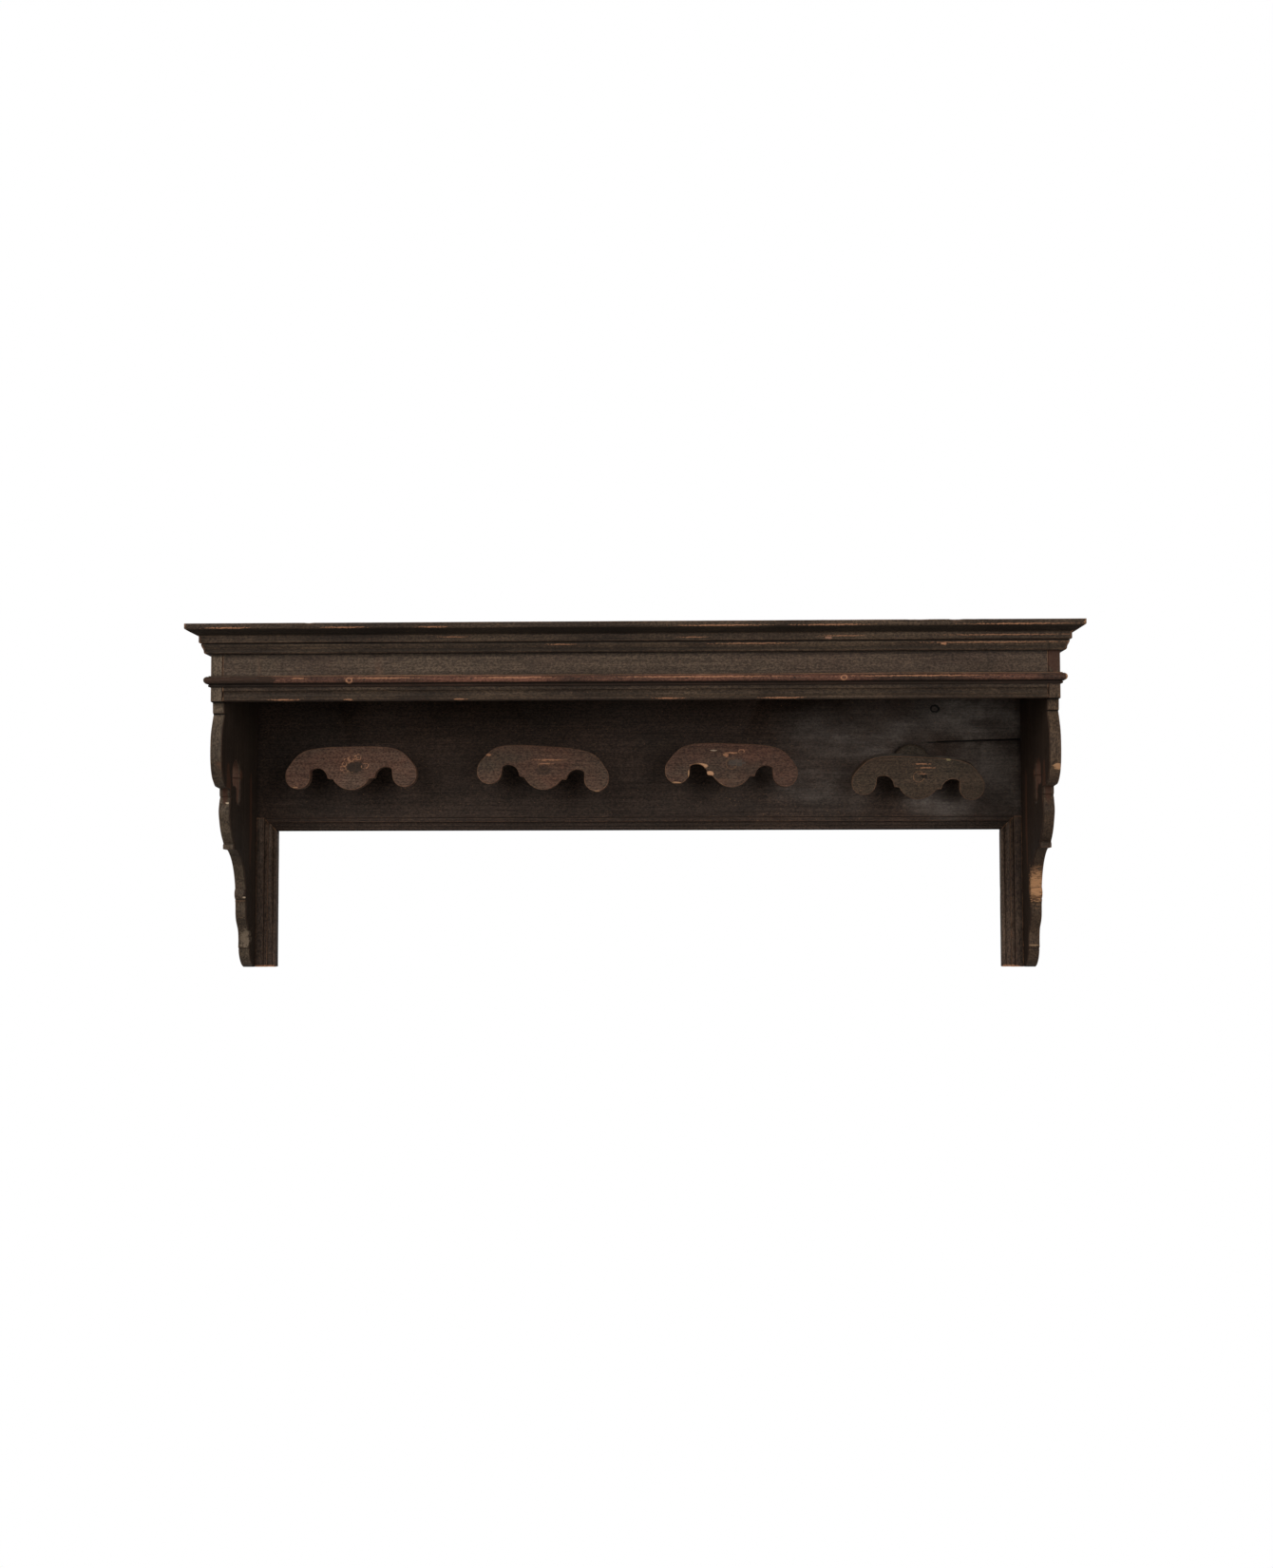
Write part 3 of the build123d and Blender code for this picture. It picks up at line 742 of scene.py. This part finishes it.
def fretted(node, soften=0.0011):
    """A fret-sawn board: its outline at mid thickness, drawn out to its thickness and softened."""
    bm = merged_copy(node)
    across = broad_normal(bm)
    levels = [v.co.dot(across) for v in bm.verts]
    low, high = min(levels), max(levels)
    middle = (low + high) / 2
    section(bm, across * middle, across)
    bmesh.ops.translate(bm, verts=bm.verts, vec=across * (low - middle))
    drawn = bmesh.ops.extrude_face_region(bm, geom=bm.faces[:])
    bmesh.ops.translate(bm, verts=moved_verts(drawn), vec=across * (high - low))
    bmesh.ops.recalc_face_normals(bm, faces=bm.faces)
    arrises = [
        e for e in bm.edges if len(e.link_faces) == 2 and e.calc_face_angle(0.0) > FRET_ARRIS
    ]
    bmesh.ops.bevel(
        bm, geom=arrises, affect="EDGES", offset=soften, segments=2, profile=0.5,
        material=-1, clamp_overlap=True,
    )
    return bm


def age(bm, chip, seed):
    """Nudges every point, and knocks in the outer corners here and there, at most chip deep."""
    bmesh.ops.recalc_face_normals(bm, faces=bm.faces)
    worn = bm.verts.layers.float.new("worn")
    bm.normal_update()
    outer = set()
    for e in bm.edges:
        if len(e.link_faces) == 2 and e.calc_face_angle_signed(0.0) > OUTER_ARRIS:
            outer.update(e.verts)
    shift = Vector((seed, seed * 0.7, -seed))
    for v in bm.verts:
        spot = v.co + shift
        nudge = noise.noise_vector(spot * 5.0) + 0.4 * noise.noise_vector(spot * 45.0)
        move = nudge * WAVER - v.normal * SINK
        if v in outer:
            bite = noise.noise(spot * 30.0) + 0.5 * noise.noise(spot * 110.0) - LEFT_SOUND
            if bite > 0:
                depth = min(bite * 2.5, 1.0)
                move -= v.normal * (chip * depth)
                v[worn] = depth
        v.co += move
    return bm


def piece(bm, name, nodes, material):
    """Turns a finished bmesh into a piece that stands for its CAD nodes."""
    bmesh.ops.recalc_face_normals(bm, faces=bm.faces)
    open_edges = sum(1 for e in bm.edges if len(e.link_faces) != 2)
    mesh = bpy.data.meshes.new(name)
    bm.to_mesh(mesh)
    bm.free()
    mesh.materials.append(material)
    mesh.shade_smooth()
    mesh.set_sharp_from_angle(angle=SHARP_SHADING)
    made = bpy.data.objects.new(name, mesh)
    bpy.context.scene.collection.objects.link(made)
    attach(made, "root")
    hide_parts(*nodes)
    print(name, len(mesh.polygons), "faces,", open_edges, "open edges")
    return made


# %% [markdown]
# ## Cornice
# Crown, bed moulding and astragal are each three lengths, planed to one section and mitred at the
# corners: the front length is sawn at both ends along the diagonal through the bracket's corner, and
# each return is sawn once. The frieze board and the architrave rail fit between the brackets.

# %% Mouldings of the cornice
FRONT_AT = 0.15  # a place along the front free of pins
SIDE_AT = -0.14  # a place along a return free of pins
RIGHT_CORNER = Vector((OUTER, FRIEZE_FACE, 0.0))
LEFT_CORNER = Vector((-OUTER, FRIEZE_FACE, 0.0))
PAST = 0.05  # how far a length runs on before its mitre is sawn
ALL_ALONG = 3.0  # a reach longer than any board
EVEN = (6, 6, 6)
STREAKS = (210, 60, 700)


def rubs(spots, y, depth, height, ragged, streaks, strength):
    """Orange streaks where hands and dusters pass. Each spot is (x, z, reach along the board)."""
    return [
        ((x, y, z), (reach, depth, height), ragged, streaks, ORANGE, strength)
        for x, z, reach in spots
    ]


def at_height(z, *pairs):
    """Spots for rubs that all lie at one height, given as (x, reach)."""
    return [(x, z, reach) for x, reach in pairs]


LEFT_KNOT = (-0.4753, -0.268, -0.0496)
RIGHT_KNOT = (0.3517, -0.268, -0.0488)
ASTRAGAL_RINGS = [(spot, 0.0046, 0.0016, 0.3, ORANGE, 0.9) for spot in (LEFT_KNOT, RIGHT_KNOT)]
TIP_CHIP = ((0.7460, -0.296, 0.0375), (0.0035, 0.006, 0.0028), 0.5, (160, 160, 240), BARE_WOOD, 0.3)
TIP_RUB = ((-0.6750, -0.296, 0.0358), (0.0300, 0.006, 0.0012), 1.3, (190, 160, 700), ORANGE, 0.8)
FILLET_SPOTS = at_height(
    0.0358, (-0.480, 0.030), (-0.330, 0.020), (0.150, 0.060), (0.330, 0.050), (0.640, 0.070)
)
FILLET_RUBS = rubs(FILLET_SPOTS, -0.295, 0.006, 0.0010, 1.5, (230, 160, 800), 0.75)
# Painted shade: a dark band along the crown's cove, under its overhang.
COVE_SHADE = ((0.0, -0.282, 0.0302), (ALL_ALONG, 0.05, 0.0040), 0.03, EVEN, GRIME_AND_SHADE, 0.7)
FASCIA_SPOTS = (
    (0.620, 0.0205, 0.090), (0.350, 0.0200, 0.030), (0.100, 0.0190, 0.020), (-0.300, 0.0215, 0.020)
)
FASCIA_RUBS = rubs(FASCIA_SPOTS, -0.277, 0.02, 0.0009, 1.4, STREAKS, 0.6)
CHIPPED = (0.33, 0.17, 0.11)
FASCIA_CHIP = ((0.326, -0.277, 0.0165), (0.0065, 0.01, 0.0024), 0.6, (200, 60, 300), CHIPPED, 0.9)
crown_finish = stained_wood(
    "crown_stain", BLACK_BROWN, OLIVE_BROWN, 0.3, wear=0.46, patchiness=1.1,
    places=(COVE_SHADE, TIP_CHIP, TIP_RUB, FASCIA_CHIP, *FILLET_RUBS, *FASCIA_RUBS),
)
# Painted shade: dark lines in the bed mould's quirk and in its hollow.
BED_QUIRK_SHADE = ((0.0, -0.272, 0.0120), (ALL_ALONG, 0.05, 0.0013), 0.03, EVEN, GRIME_AND_SHADE, 0.8)
BED_HOLLOW_SHADE = ((0.0, -0.270, 0.0012), (ALL_ALONG, 0.05, 0.0028), 0.05, EVEN, GRIME_AND_SHADE, 0.5)
BED_CHIP = ((0.517, -0.272, 0.0065), (0.0050, 0.01, 0.0022), 0.5, (200, 60, 300), ORANGE, 0.9)
BED_SPOTS = at_height(0.0085, (0.600, 0.100), (0.200, 0.060), (-0.120, 0.020))
BED_RUBS = rubs(BED_SPOTS, -0.273, 0.02, 0.0010, 1.4, STREAKS, 0.6)
bed_finish = stained_wood(
    "bed_mould_stain", BLACK_BROWN, OLIVE_BROWN, 1.7, wear=0.42, patchiness=0.9,
    places=(BED_QUIRK_SHADE, BED_HOLLOW_SHADE, BED_CHIP, *BED_RUBS),
)
# Painted shade: the astragal's lower half and the bead under it darkened, as shade from above.
UNDERSIDE_SHADE_COLOUR = (0.016, 0.0105, 0.0075)
ASTRAGAL_UNDERSIDE_SHADE = ((0.0, -0.268, -0.0590), (ALL_ALONG, 0.05, 0.0062), 0.04, EVEN, UNDERSIDE_SHADE_COLOUR, 0.85)
DARK_END = ((-0.6900, -0.268, -0.0500), (0.0950, 0.05, 0.05), 0.35, (30, 30, 60), BLACK_BROWN, 0.85)
CREST_SPOTS = at_height(
    -0.0462, (-0.560, 0.012), (-0.420, 0.050), (-0.200, 0.060), (0.120, 0.120), (0.480, 0.100)
)
RUBBED_CREST = rubs(CREST_SPOTS, -0.270, 0.02, 0.0012, 1.3, (170, 60, 700), 0.75)
astragal_finish = stained_wood(
    "astragal_stain", (0.034, 0.021, 0.015), (0.215, 0.088, 0.056), 2.9, wear=0.62, patchiness=1.1,
    places=(DARK_END, ASTRAGAL_UNDERSIDE_SHADE, *RUBBED_CREST), rings=ASTRAGAL_RINGS,
)
side_crown_finish = stained_wood(
    "crown_return_stain", BLACK_BROWN, OLIVE_BROWN, 4.1, turn=ALONG_Y, wear=0.52
)
side_astragal_finish = stained_wood(
    "astragal_return_stain", BLACK_BROWN, (0.11, 0.048, 0.029), 5.3, turn=ALONG_Y, wear=0.5
)

front_trims = [(RIGHT_CORNER, (1, 1, 0)), (LEFT_CORNER, (-1, 1, 0))]
right_trims = [(RIGHT_CORNER, (-1, -1, 0))]
left_trims = [(LEFT_CORNER, (1, -1, 0))]
DEEPEST = FRIEZE_FACE - PAST
MOULDINGS = {
    "crown": (crown_finish, side_crown_finish, "dark_stained_wood", 0.0016),
    "bed_mould": (bed_finish, side_crown_finish, "dark_stained_wood", 0.001),
    "astragal": (astragal_finish, side_astragal_finish, "red_brown_wood", 0.001),
}
for number, (kind, (front_finish, side_finish, slot, chip)) in enumerate(MOULDINGS.items()):
    node = f"{kind}_front"
    bm = strip(node, 0, FRONT_AT, -OUTER - PAST, OUTER + PAST, front_trims)
    piece(age(bm, chip=chip, seed=number), f"old_{node}", [node], front_finish)
    for side, trims in (("right", right_trims), ("left", left_trims)):
        node = f"{kind}_{side}"
        bm = strip(node, 1, SIDE_AT, WALL, DEEPEST, trims)
        piece(age(bm, chip=chip, seed=number + 3), f"old_{node}", [node], side_finish)

# %% Frieze and architrave
frieze_finish = stained_wood(
    "frieze_stain", (0.066, 0.040, 0.0270), (0.083, 0.056, 0.037), 7.3, wear=0.4, shine=0.54
)
RAIL_SPOTS = at_height(
    -0.0812, (-0.586, 0.022), (-0.477, 0.008), (-0.290, 0.010), (0.060, 0.020), (0.250, 0.030)
)
RAIL_RUBS = rubs(RAIL_SPOTS, -0.259, 0.010, 0.0011, 1.2, (200, 160, 500), 0.85)
rail_finish = stained_wood(
    "architrave_stain", BLACK_BROWN, OLIVE_BROWN, 8.9, wear=0.5, patchiness=0.9, places=RAIL_RUBS
)
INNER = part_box("frieze_board")[1].x
for node, finish in (("frieze_board", frieze_finish), ("architrave_rail", rail_finish)):
    bm = strip(node, 0, FRONT_AT, -INNER, INNER)
    piece(age(bm, chip=0.0009, seed=9), f"old_{node}", [node], finish)

# %% [markdown]
# ## Brackets
# The brackets are sawn from board with the grain upright: two swelling scrolls, a hollow and a long
# foot, with one pierced opening. The right one has lost its stain and some wood below the block.

# %% Brackets
SCRAPED = (0.20, 0.105, 0.055)
TAN = (0.52, 0.27, 0.13)
TAN_RED = (0.50, 0.27, 0.14)
TAN_GREY = (0.45, 0.28, 0.15)
DRY_GREY = (0.24, 0.18, 0.125)
DARK_RED = (0.080, 0.036, 0.024)
INNER_FACE = 0.691
UPRIGHT = (9, 9, 9)
POINTED = (200, 200, 300)
SCRAPE = ((0.697, -0.098, -0.394), (0.020, 0.020, 0.029), 1.1, (70, 60, 420), SCRAPED, 0.9)
TAN_PATCH = ((0.700, -0.098, -0.396), (0.013, 0.020, 0.025), 1.3, (110, 60, 640), TAN, 0.9)
BULGE_SPOT = ((0.705, -0.252, -0.196), (0.007, 0.008, 0.006), 0.9, (120, 60, 500), TAN_RED, 0.9)
LINE_SPOT = ((0.701, -0.062, -0.500), (0.009, 0.006, 0.0011), 0.3, (60, 60, 500), TAN_GREY, 0.8)
PALE_SPECK = ((-0.697, -0.200, -0.252), (0.0030, 0.004, 0.0016), 0.5, POINTED, PALE_SPLIT, 1.0)
LOW_SPECK = ((-0.694, -0.092, -0.414), (0.0030, 0.004, 0.0013), 0.5, POINTED, PALE_SPLIT, 1.0)
FOOT_PATCH = ((-0.698, -0.058, -0.486), (0.008, 0.016, 0.016), 1.1, (160, 120, 160), DRY_GREY, 0.6)
DEEP_SHADE = (0.022, 0.0125, 0.0080)
SHADED = {
    side: ((hand * INNER_FACE, -0.12, -0.25), (0.0030, 0.25, 0.40), 0.05, UPRIGHT, DEEP_SHADE, 0.8)
    for side, hand in (("right", 1), ("left", -1))
}
RED_END = ((0.701, -0.260, -0.015), (0.014, 0.012, 0.030), 0.4, (60, 60, 20), DARK_RED, 0.7)
INNER_SPOTS = (  # y, z, reach across, reach up
    (-0.215, -0.225, 0.016, 0.040),
    (-0.150, -0.200, 0.030, 0.012),
    (-0.060, -0.280, 0.008, 0.09),
)
RED_BROWN = (0.095, 0.040, 0.022)
INNER_RUBS = [
    ((hand * INNER_FACE, y, z), (0.003, across, up), 0.5, (60, 40, 9), RED_BROWN, 0.7)
    for hand in (-1, 1)
    for y, z, across, up in INNER_SPOTS
]
JOINT_LINES = [
    ((hand * 0.701, -0.255, z), (0.03, 0.03, 0.0012), 0.05, (60, 60, 20), GRIME_AND_SHADE, 0.9)
    for hand in (-1, 1) for z in (-0.0838, -0.1030)
]
SAWN_RED = (0.075, 0.034, 0.021)
OPENING = {
    side: ((hand * 0.7012, -0.160, -0.214), (0.0085, 0.055, 0.070), 0.05, UPRIGHT, SAWN_RED, 0.85)
    for side, hand in (("right", 1), ("left", -1))
}
RIGHT_MARKS = (SCRAPE, TAN_PATCH, BULGE_SPOT, LINE_SPOT, RED_END)
LEFT_MARKS = (PALE_SPECK, LOW_SPECK, FOOT_PATCH)
bracket_finishes = {
    "right": stained_wood(
        "right_bracket_stain", (0.040, 0.024, 0.015), (0.090, 0.056, 0.034), 11.1,
        turn=ALONG_Z, wear=0.6,
        places=(SHADED["right"], OPENING["right"], *INNER_RUBS, *RIGHT_MARKS, *JOINT_LINES),
    ),
    "left": stained_wood(
        "left_bracket_stain", (0.052, 0.036, 0.024), (0.120, 0.086, 0.058), 12.7,
        turn=ALONG_Z, wear=0.58,
        places=(SHADED["left"], OPENING["left"], *INNER_RUBS, *LEFT_MARKS, *JOINT_LINES),
    ),
}
for side, finish in bracket_finishes.items():
    node = f"bracket_{side}"
    bm = age(fretted(node), chip=0.0012, seed=13)
    piece(bm, f"old_{node}", [node], finish)

# %% [markdown]
# ## Legs and back board
# The legs are strips with a moulded inner edge, sawn square over their flat and mitred over their
# moulding. The back board keeps its CAD shape, with its peg and screw holes, and gets one more thing
# by hand: the drying split that runs in from its right end, a little above the last hook. Its inside
# is painted near black as shade. Grey clouds gather on the right, partly a bloom in its polish and
# partly a painted sheen of light, and one knot shows as a black ring.

# %% Legs
LEG_AT = FOOT + 0.08  # a place along a leg free of nails
FOOT_RUBS = [
    ((hand * 0.672, -0.018, -0.5390), (0.030, 0.006, 0.0020), 0.9, (90, 160, 300), ORANGE, 0.85)
    for hand in (-1, 1)
]
leg_finish = stained_wood(
    "leg_stain", (0.063, 0.040, 0.0285), (0.113, 0.073, 0.049), 15.1,
    turn=ALONG_Z, wear=0.56, places=FOOT_RUBS,
)
for side, hand in (("right", 1), ("left", -1)):
    mitre = (Vector((hand * LEG_INNER, 0.0, BOARD_LOW)), (-hand, 0, 1))
    node = f"leg_{side}"
    bm = strip(node, 2, LEG_AT, FOOT, CORNER_TOP, [mitre])
    piece(age(bm, chip=0.0014, seed=17), f"old_{node}", [node], leg_finish)

# %% Back board with its split
SPLIT_HEIGHT = -0.135
SPLIT_RISE = 0.033  # how much the split climbs for each unit of its length
SPLIT_START = 0.525
SPLIT_WIDTH = 0.0019
SPLIT_DEPTH = 0.008
SPLIT_STEPS = 24
UNSPLIT = 0.3  # faces further than this before the split stay undivided
SLACK = 1e-4
BOARD_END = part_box("back_board")[1].x
bm = merged_copy("back_board")
middle = Vector(((SPLIT_START + BOARD_END) / 2, 0.0, SPLIT_HEIGHT))
slope = Vector((-SPLIT_RISE, 0.0, 1.0))
for offset in (-SPLIT_WIDTH, 0.0, SPLIT_WIDTH):
    level = middle + Vector((0, 0, offset))
    bmesh.ops.bisect_plane(
        bm, geom=everything_in(bm), dist=ON_PLANE, plane_co=level, plane_no=slope
    )
for step in range(SPLIT_STEPS):
    x = SPLIT_START + (BOARD_END - SPLIT_START) * step / SPLIT_STEPS
    near = [f for f in bm.faces if f.calc_center_median().x > SPLIT_START - UNSPLIT]
    edges = list({e for f in near for e in f.edges})
    corners = list({v for f in near for v in f.verts})
    bmesh.ops.bisect_plane(
        bm, geom=near + edges + corners, dist=ON_PLANE, plane_co=(x, 0, 0), plane_no=(1, 0, 0)
    )
inside = bm.verts.layers.float.new("split")
for v in bm.verts:
    above = (v.co - middle).dot(slope)
    on_front = v.co.x >= SPLIT_START - SLACK and v.co.y < BOARD_FACE + SLACK
    if abs(above) < SPLIT_WIDTH * 1.2 and on_front:
        share = (v.co.x - SPLIT_START) / (BOARD_END - SPLIT_START)
        uneven = 0.45 + 0.55 * abs(noise.noise(Vector((v.co.x * 30.0, 0, 0))))
        opened = min(share * 6.0, 1.0) * uneven
        v.co.z += noise.noise(Vector((v.co.x * 22.0, 3.0, 0))) * 0.0012
        if abs(above) < SPLIT_WIDTH * 0.4:
            v.co.y += SPLIT_DEPTH * opened
            v[inside] = min(1.0, 0.5 + opened)
KNOT = (0.5374, BOARD_FACE, -0.0770)
KNOT_RING = [(KNOT, 0.0068, 0.0024, 0.0, (0.004, 0.003, 0.0025), 1.0)]
# Grey clouds on the board's right: partly a bloom of old polish, partly a painted sheen of light.
BOARD_HAZE_AND_SHEEN = (
    ((0.610, BOARD_FACE, -0.105), (0.115, 0.012, 0.085), 1.0),
    ((0.420, BOARD_FACE, -0.125), (0.170, 0.012, 0.070), 0.55),
    ((0.300, BOARD_FACE, -0.215), (0.150, 0.012, 0.060), 0.34),
    ((0.650, BOARD_FACE, -0.190), (0.080, 0.012, 0.090), 0.55),
    ((0.545, BOARD_FACE, -0.245), (0.085, 0.012, 0.034), 0.8),
)
board_finish = stained_wood(
    "back_board_stain", (0.0325, 0.0208, 0.0148), (0.051, 0.0297, 0.0203), 19.3,
    wear=0.3, shine=0.6, rings=KNOT_RING, haze_and_sheen=BOARD_HAZE_AND_SHEEN, split=True,
)
piece(bm, "old_back_board", ["back_board"], board_finish)

# %% [markdown]
# ## Hooks
# Each plate is a double scroll with a hanging lobe, sawn from thick board and softened all round. The
# arm, its boss against the board and the wedges keep their CAD shapes. Each plate has its own finish,
# because each is rubbed in its own way round its peg.

# %% Marks on the hook plates
FACE = -0.095
DASHES = (70, 60, 620)
SHORT_DASHES = (180, 60, 620)
FINE = (160, 160, 240)
FRESH = (0.66, 0.36, 0.20)
DARK_SPOT = (0.030, 0.023, 0.018)


def mark(x, z, reach_x, reach_z, ragged, streaks, colour, strength):
    """A mark on the face of a hook plate."""
    return (x, FACE, z), (reach_x, 0.03, reach_z), ragged, streaks, colour, strength


HOOK_PLACES = {
    1: [
        mark(-0.4975, -0.1840, 0.0165, 0.0100, 0.35, FINE, DARK_SPOT, 0.8),
        mark(-0.6040, -0.2195, 0.0050, 0.0010, 0.4, FINE, BARE_WOOD, 0.8),
    ],
    2: [
        mark(-0.1530, -0.1722, 0.0230, 0.0014, 1.1, SHORT_DASHES, ORANGE, 0.8),
        mark(-0.1590, -0.1790, 0.0130, 0.0011, 1.1, SHORT_DASHES, ORANGE, 0.7),
        mark(-0.1634, -0.1913, 0.0150, 0.0090, 0.4, FINE, DARK_SPOT, 0.5),
        mark(-0.2605, -0.1632, 0.0045, 0.0024, 0.5, FINE, ORANGE, 0.8),
        mark(-0.0679, -0.2275, 0.0050, 0.0010, 0.4, FINE, BARE_WOOD, 0.8),
        mark(-0.2013, -0.2030, 0.0045, 0.0011, 0.4, FINE, ORANGE, 0.8),
    ],
    3: [
        ((0.1120, -0.085, -0.1838), (0.0190, 0.020, 0.0060), 0.12, FINE, FRESH, 0.95),
        ((0.1310, -0.085, -0.1975), (0.0080, 0.020, 0.0060), 0.12, FINE, FRESH, 0.9),
        mark(0.0935, -0.1990, 0.0016, 0.0090, 0.25, FINE, BARE_WOOD, 0.8),
        mark(0.1590, -0.1650, 0.0048, 0.0036, 0.6, FINE, ORANGE, 0.85),
        mark(0.1690, -0.1610, 0.0110, 0.0016, 0.9, DASHES, ORANGE, 0.85),
        mark(0.1377, -0.1566, 0.0060, 0.0012, 0.4, DASHES, PALE_SPLIT, 0.7),
        mark(0.1778, -0.1780, 0.0160, 0.0060, 0.6, FINE, (0.10, 0.088, 0.075), 0.55),
        mark(0.0720, -0.2130, 0.0100, 0.0012, 0.7, FINE, BARE_WOOD, 0.9),
    ],
    4: [
        mark(0.5040, -0.1818, 0.0150, 0.0010, 1.1, SHORT_DASHES, ORANGE, 0.75),
        mark(0.5120, -0.1885, 0.0170, 0.0009, 1.1, SHORT_DASHES, ORANGE, 0.75),
        mark(0.5050, -0.1990, 0.0100, 0.0006, 1.1, SHORT_DASHES, ORANGE, 0.7),
        mark(0.5067, -0.2036, 0.0070, 0.0028, 0.7, FINE, (0.010, 0.008, 0.006), 0.85),
        mark(0.5487, -0.1744, 0.0040, 0.0024, 0.4, FINE, (0.34, 0.27, 0.13), 0.7),
    ],
}
CURLS = [
    (-0.5165, -0.1790), (-0.5115, -0.1730), (-0.5050, -0.1695), (-0.4985, -0.1670),
    (-0.4925, -0.1665), (-0.5190, -0.1855), (-0.5150, -0.1900), (-0.4800, -0.1815),
]
CURL_RADII = (0.0042, 0.0058, 0.0050)
PEG_CURLS = [
    ((x, FACE, z), CURL_RADII[i % 3], 0.0010, 1.0, ORANGE, 0.8) for i, (x, z) in enumerate(CURLS)
]
PEG_RING = [((0.1863, FACE, -0.1590), 0.0050, 0.0010, 0.8, ORANGE, 0.85)]
HOOK_RINGS = {1: PEG_CURLS, 3: PEG_RING}
print("marks on hook plates:", {n: len(marks) for n, marks in HOOK_PLACES.items()})

# %% Hook plates, arms and bosses
HOOK_STAINS = {
    1: ((0.150, 0.060, 0.037), (0.093, 0.061, 0.042)),
    2: ((0.124, 0.054, 0.034), (0.078, 0.055, 0.037)),
    3: ((0.114, 0.050, 0.032), (0.074, 0.052, 0.036)),
    4: ((0.074, 0.044, 0.028), (0.056, 0.043, 0.029)),
}
for number, marks in HOOK_PLACES.items():
    stain, cloud = HOOK_STAINS[number]
    finish = stained_wood(
        f"hook_{number}_stain", stain, cloud, 20.0 + 1.37 * number, wear=0.6,
        patchiness=0.8, reach=0.0022, places=marks, rings=HOOK_RINGS.get(number, ()),
    )
    node = f"hook_{number}_plate"
    bm = age(fretted(node, soften=0.0009), chip=0.001, seed=number * 2.3)
    piece(bm, f"old_{node}", [node], finish)
    for part in ("arm", "boss"):
        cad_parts[f"hook_{number}_{part}"].data.materials[0] = finish

# %% [markdown]
# ## Top board, hidden timber and iron
# These keep their CAD shapes. The top board lies in dust and is barely stained on top; the hanging
# rail, the corner blocks and the wedges are plain pine; nails, pins and screws are dull iron.

# %% Remaining CAD nodes
top_finish = stained_wood(
    "top_board_stain", BLACK_BROWN, (0.07, 0.05, 0.034), 31.0, wear=0.4, shine=0.55
)
pine_along = plain_pine("pine_along", ALONG_X)
pine_through = plain_pine("pine_through", ALONG_Y)
iron = old_iron("old_iron")
KEPT = {
    "top_board": top_finish,
    "hanging_rail": pine_along,
    "glue_blocks": pine_along,
    "hook_wedges": pine_through,
}
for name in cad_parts:
    if name.endswith(("_pins", "_nails", "_screws")):
        KEPT[name] = iron
for name, finish in KEPT.items():
    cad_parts[name].data.materials[0] = finish
print("finished in place:", sorted(KEPT))
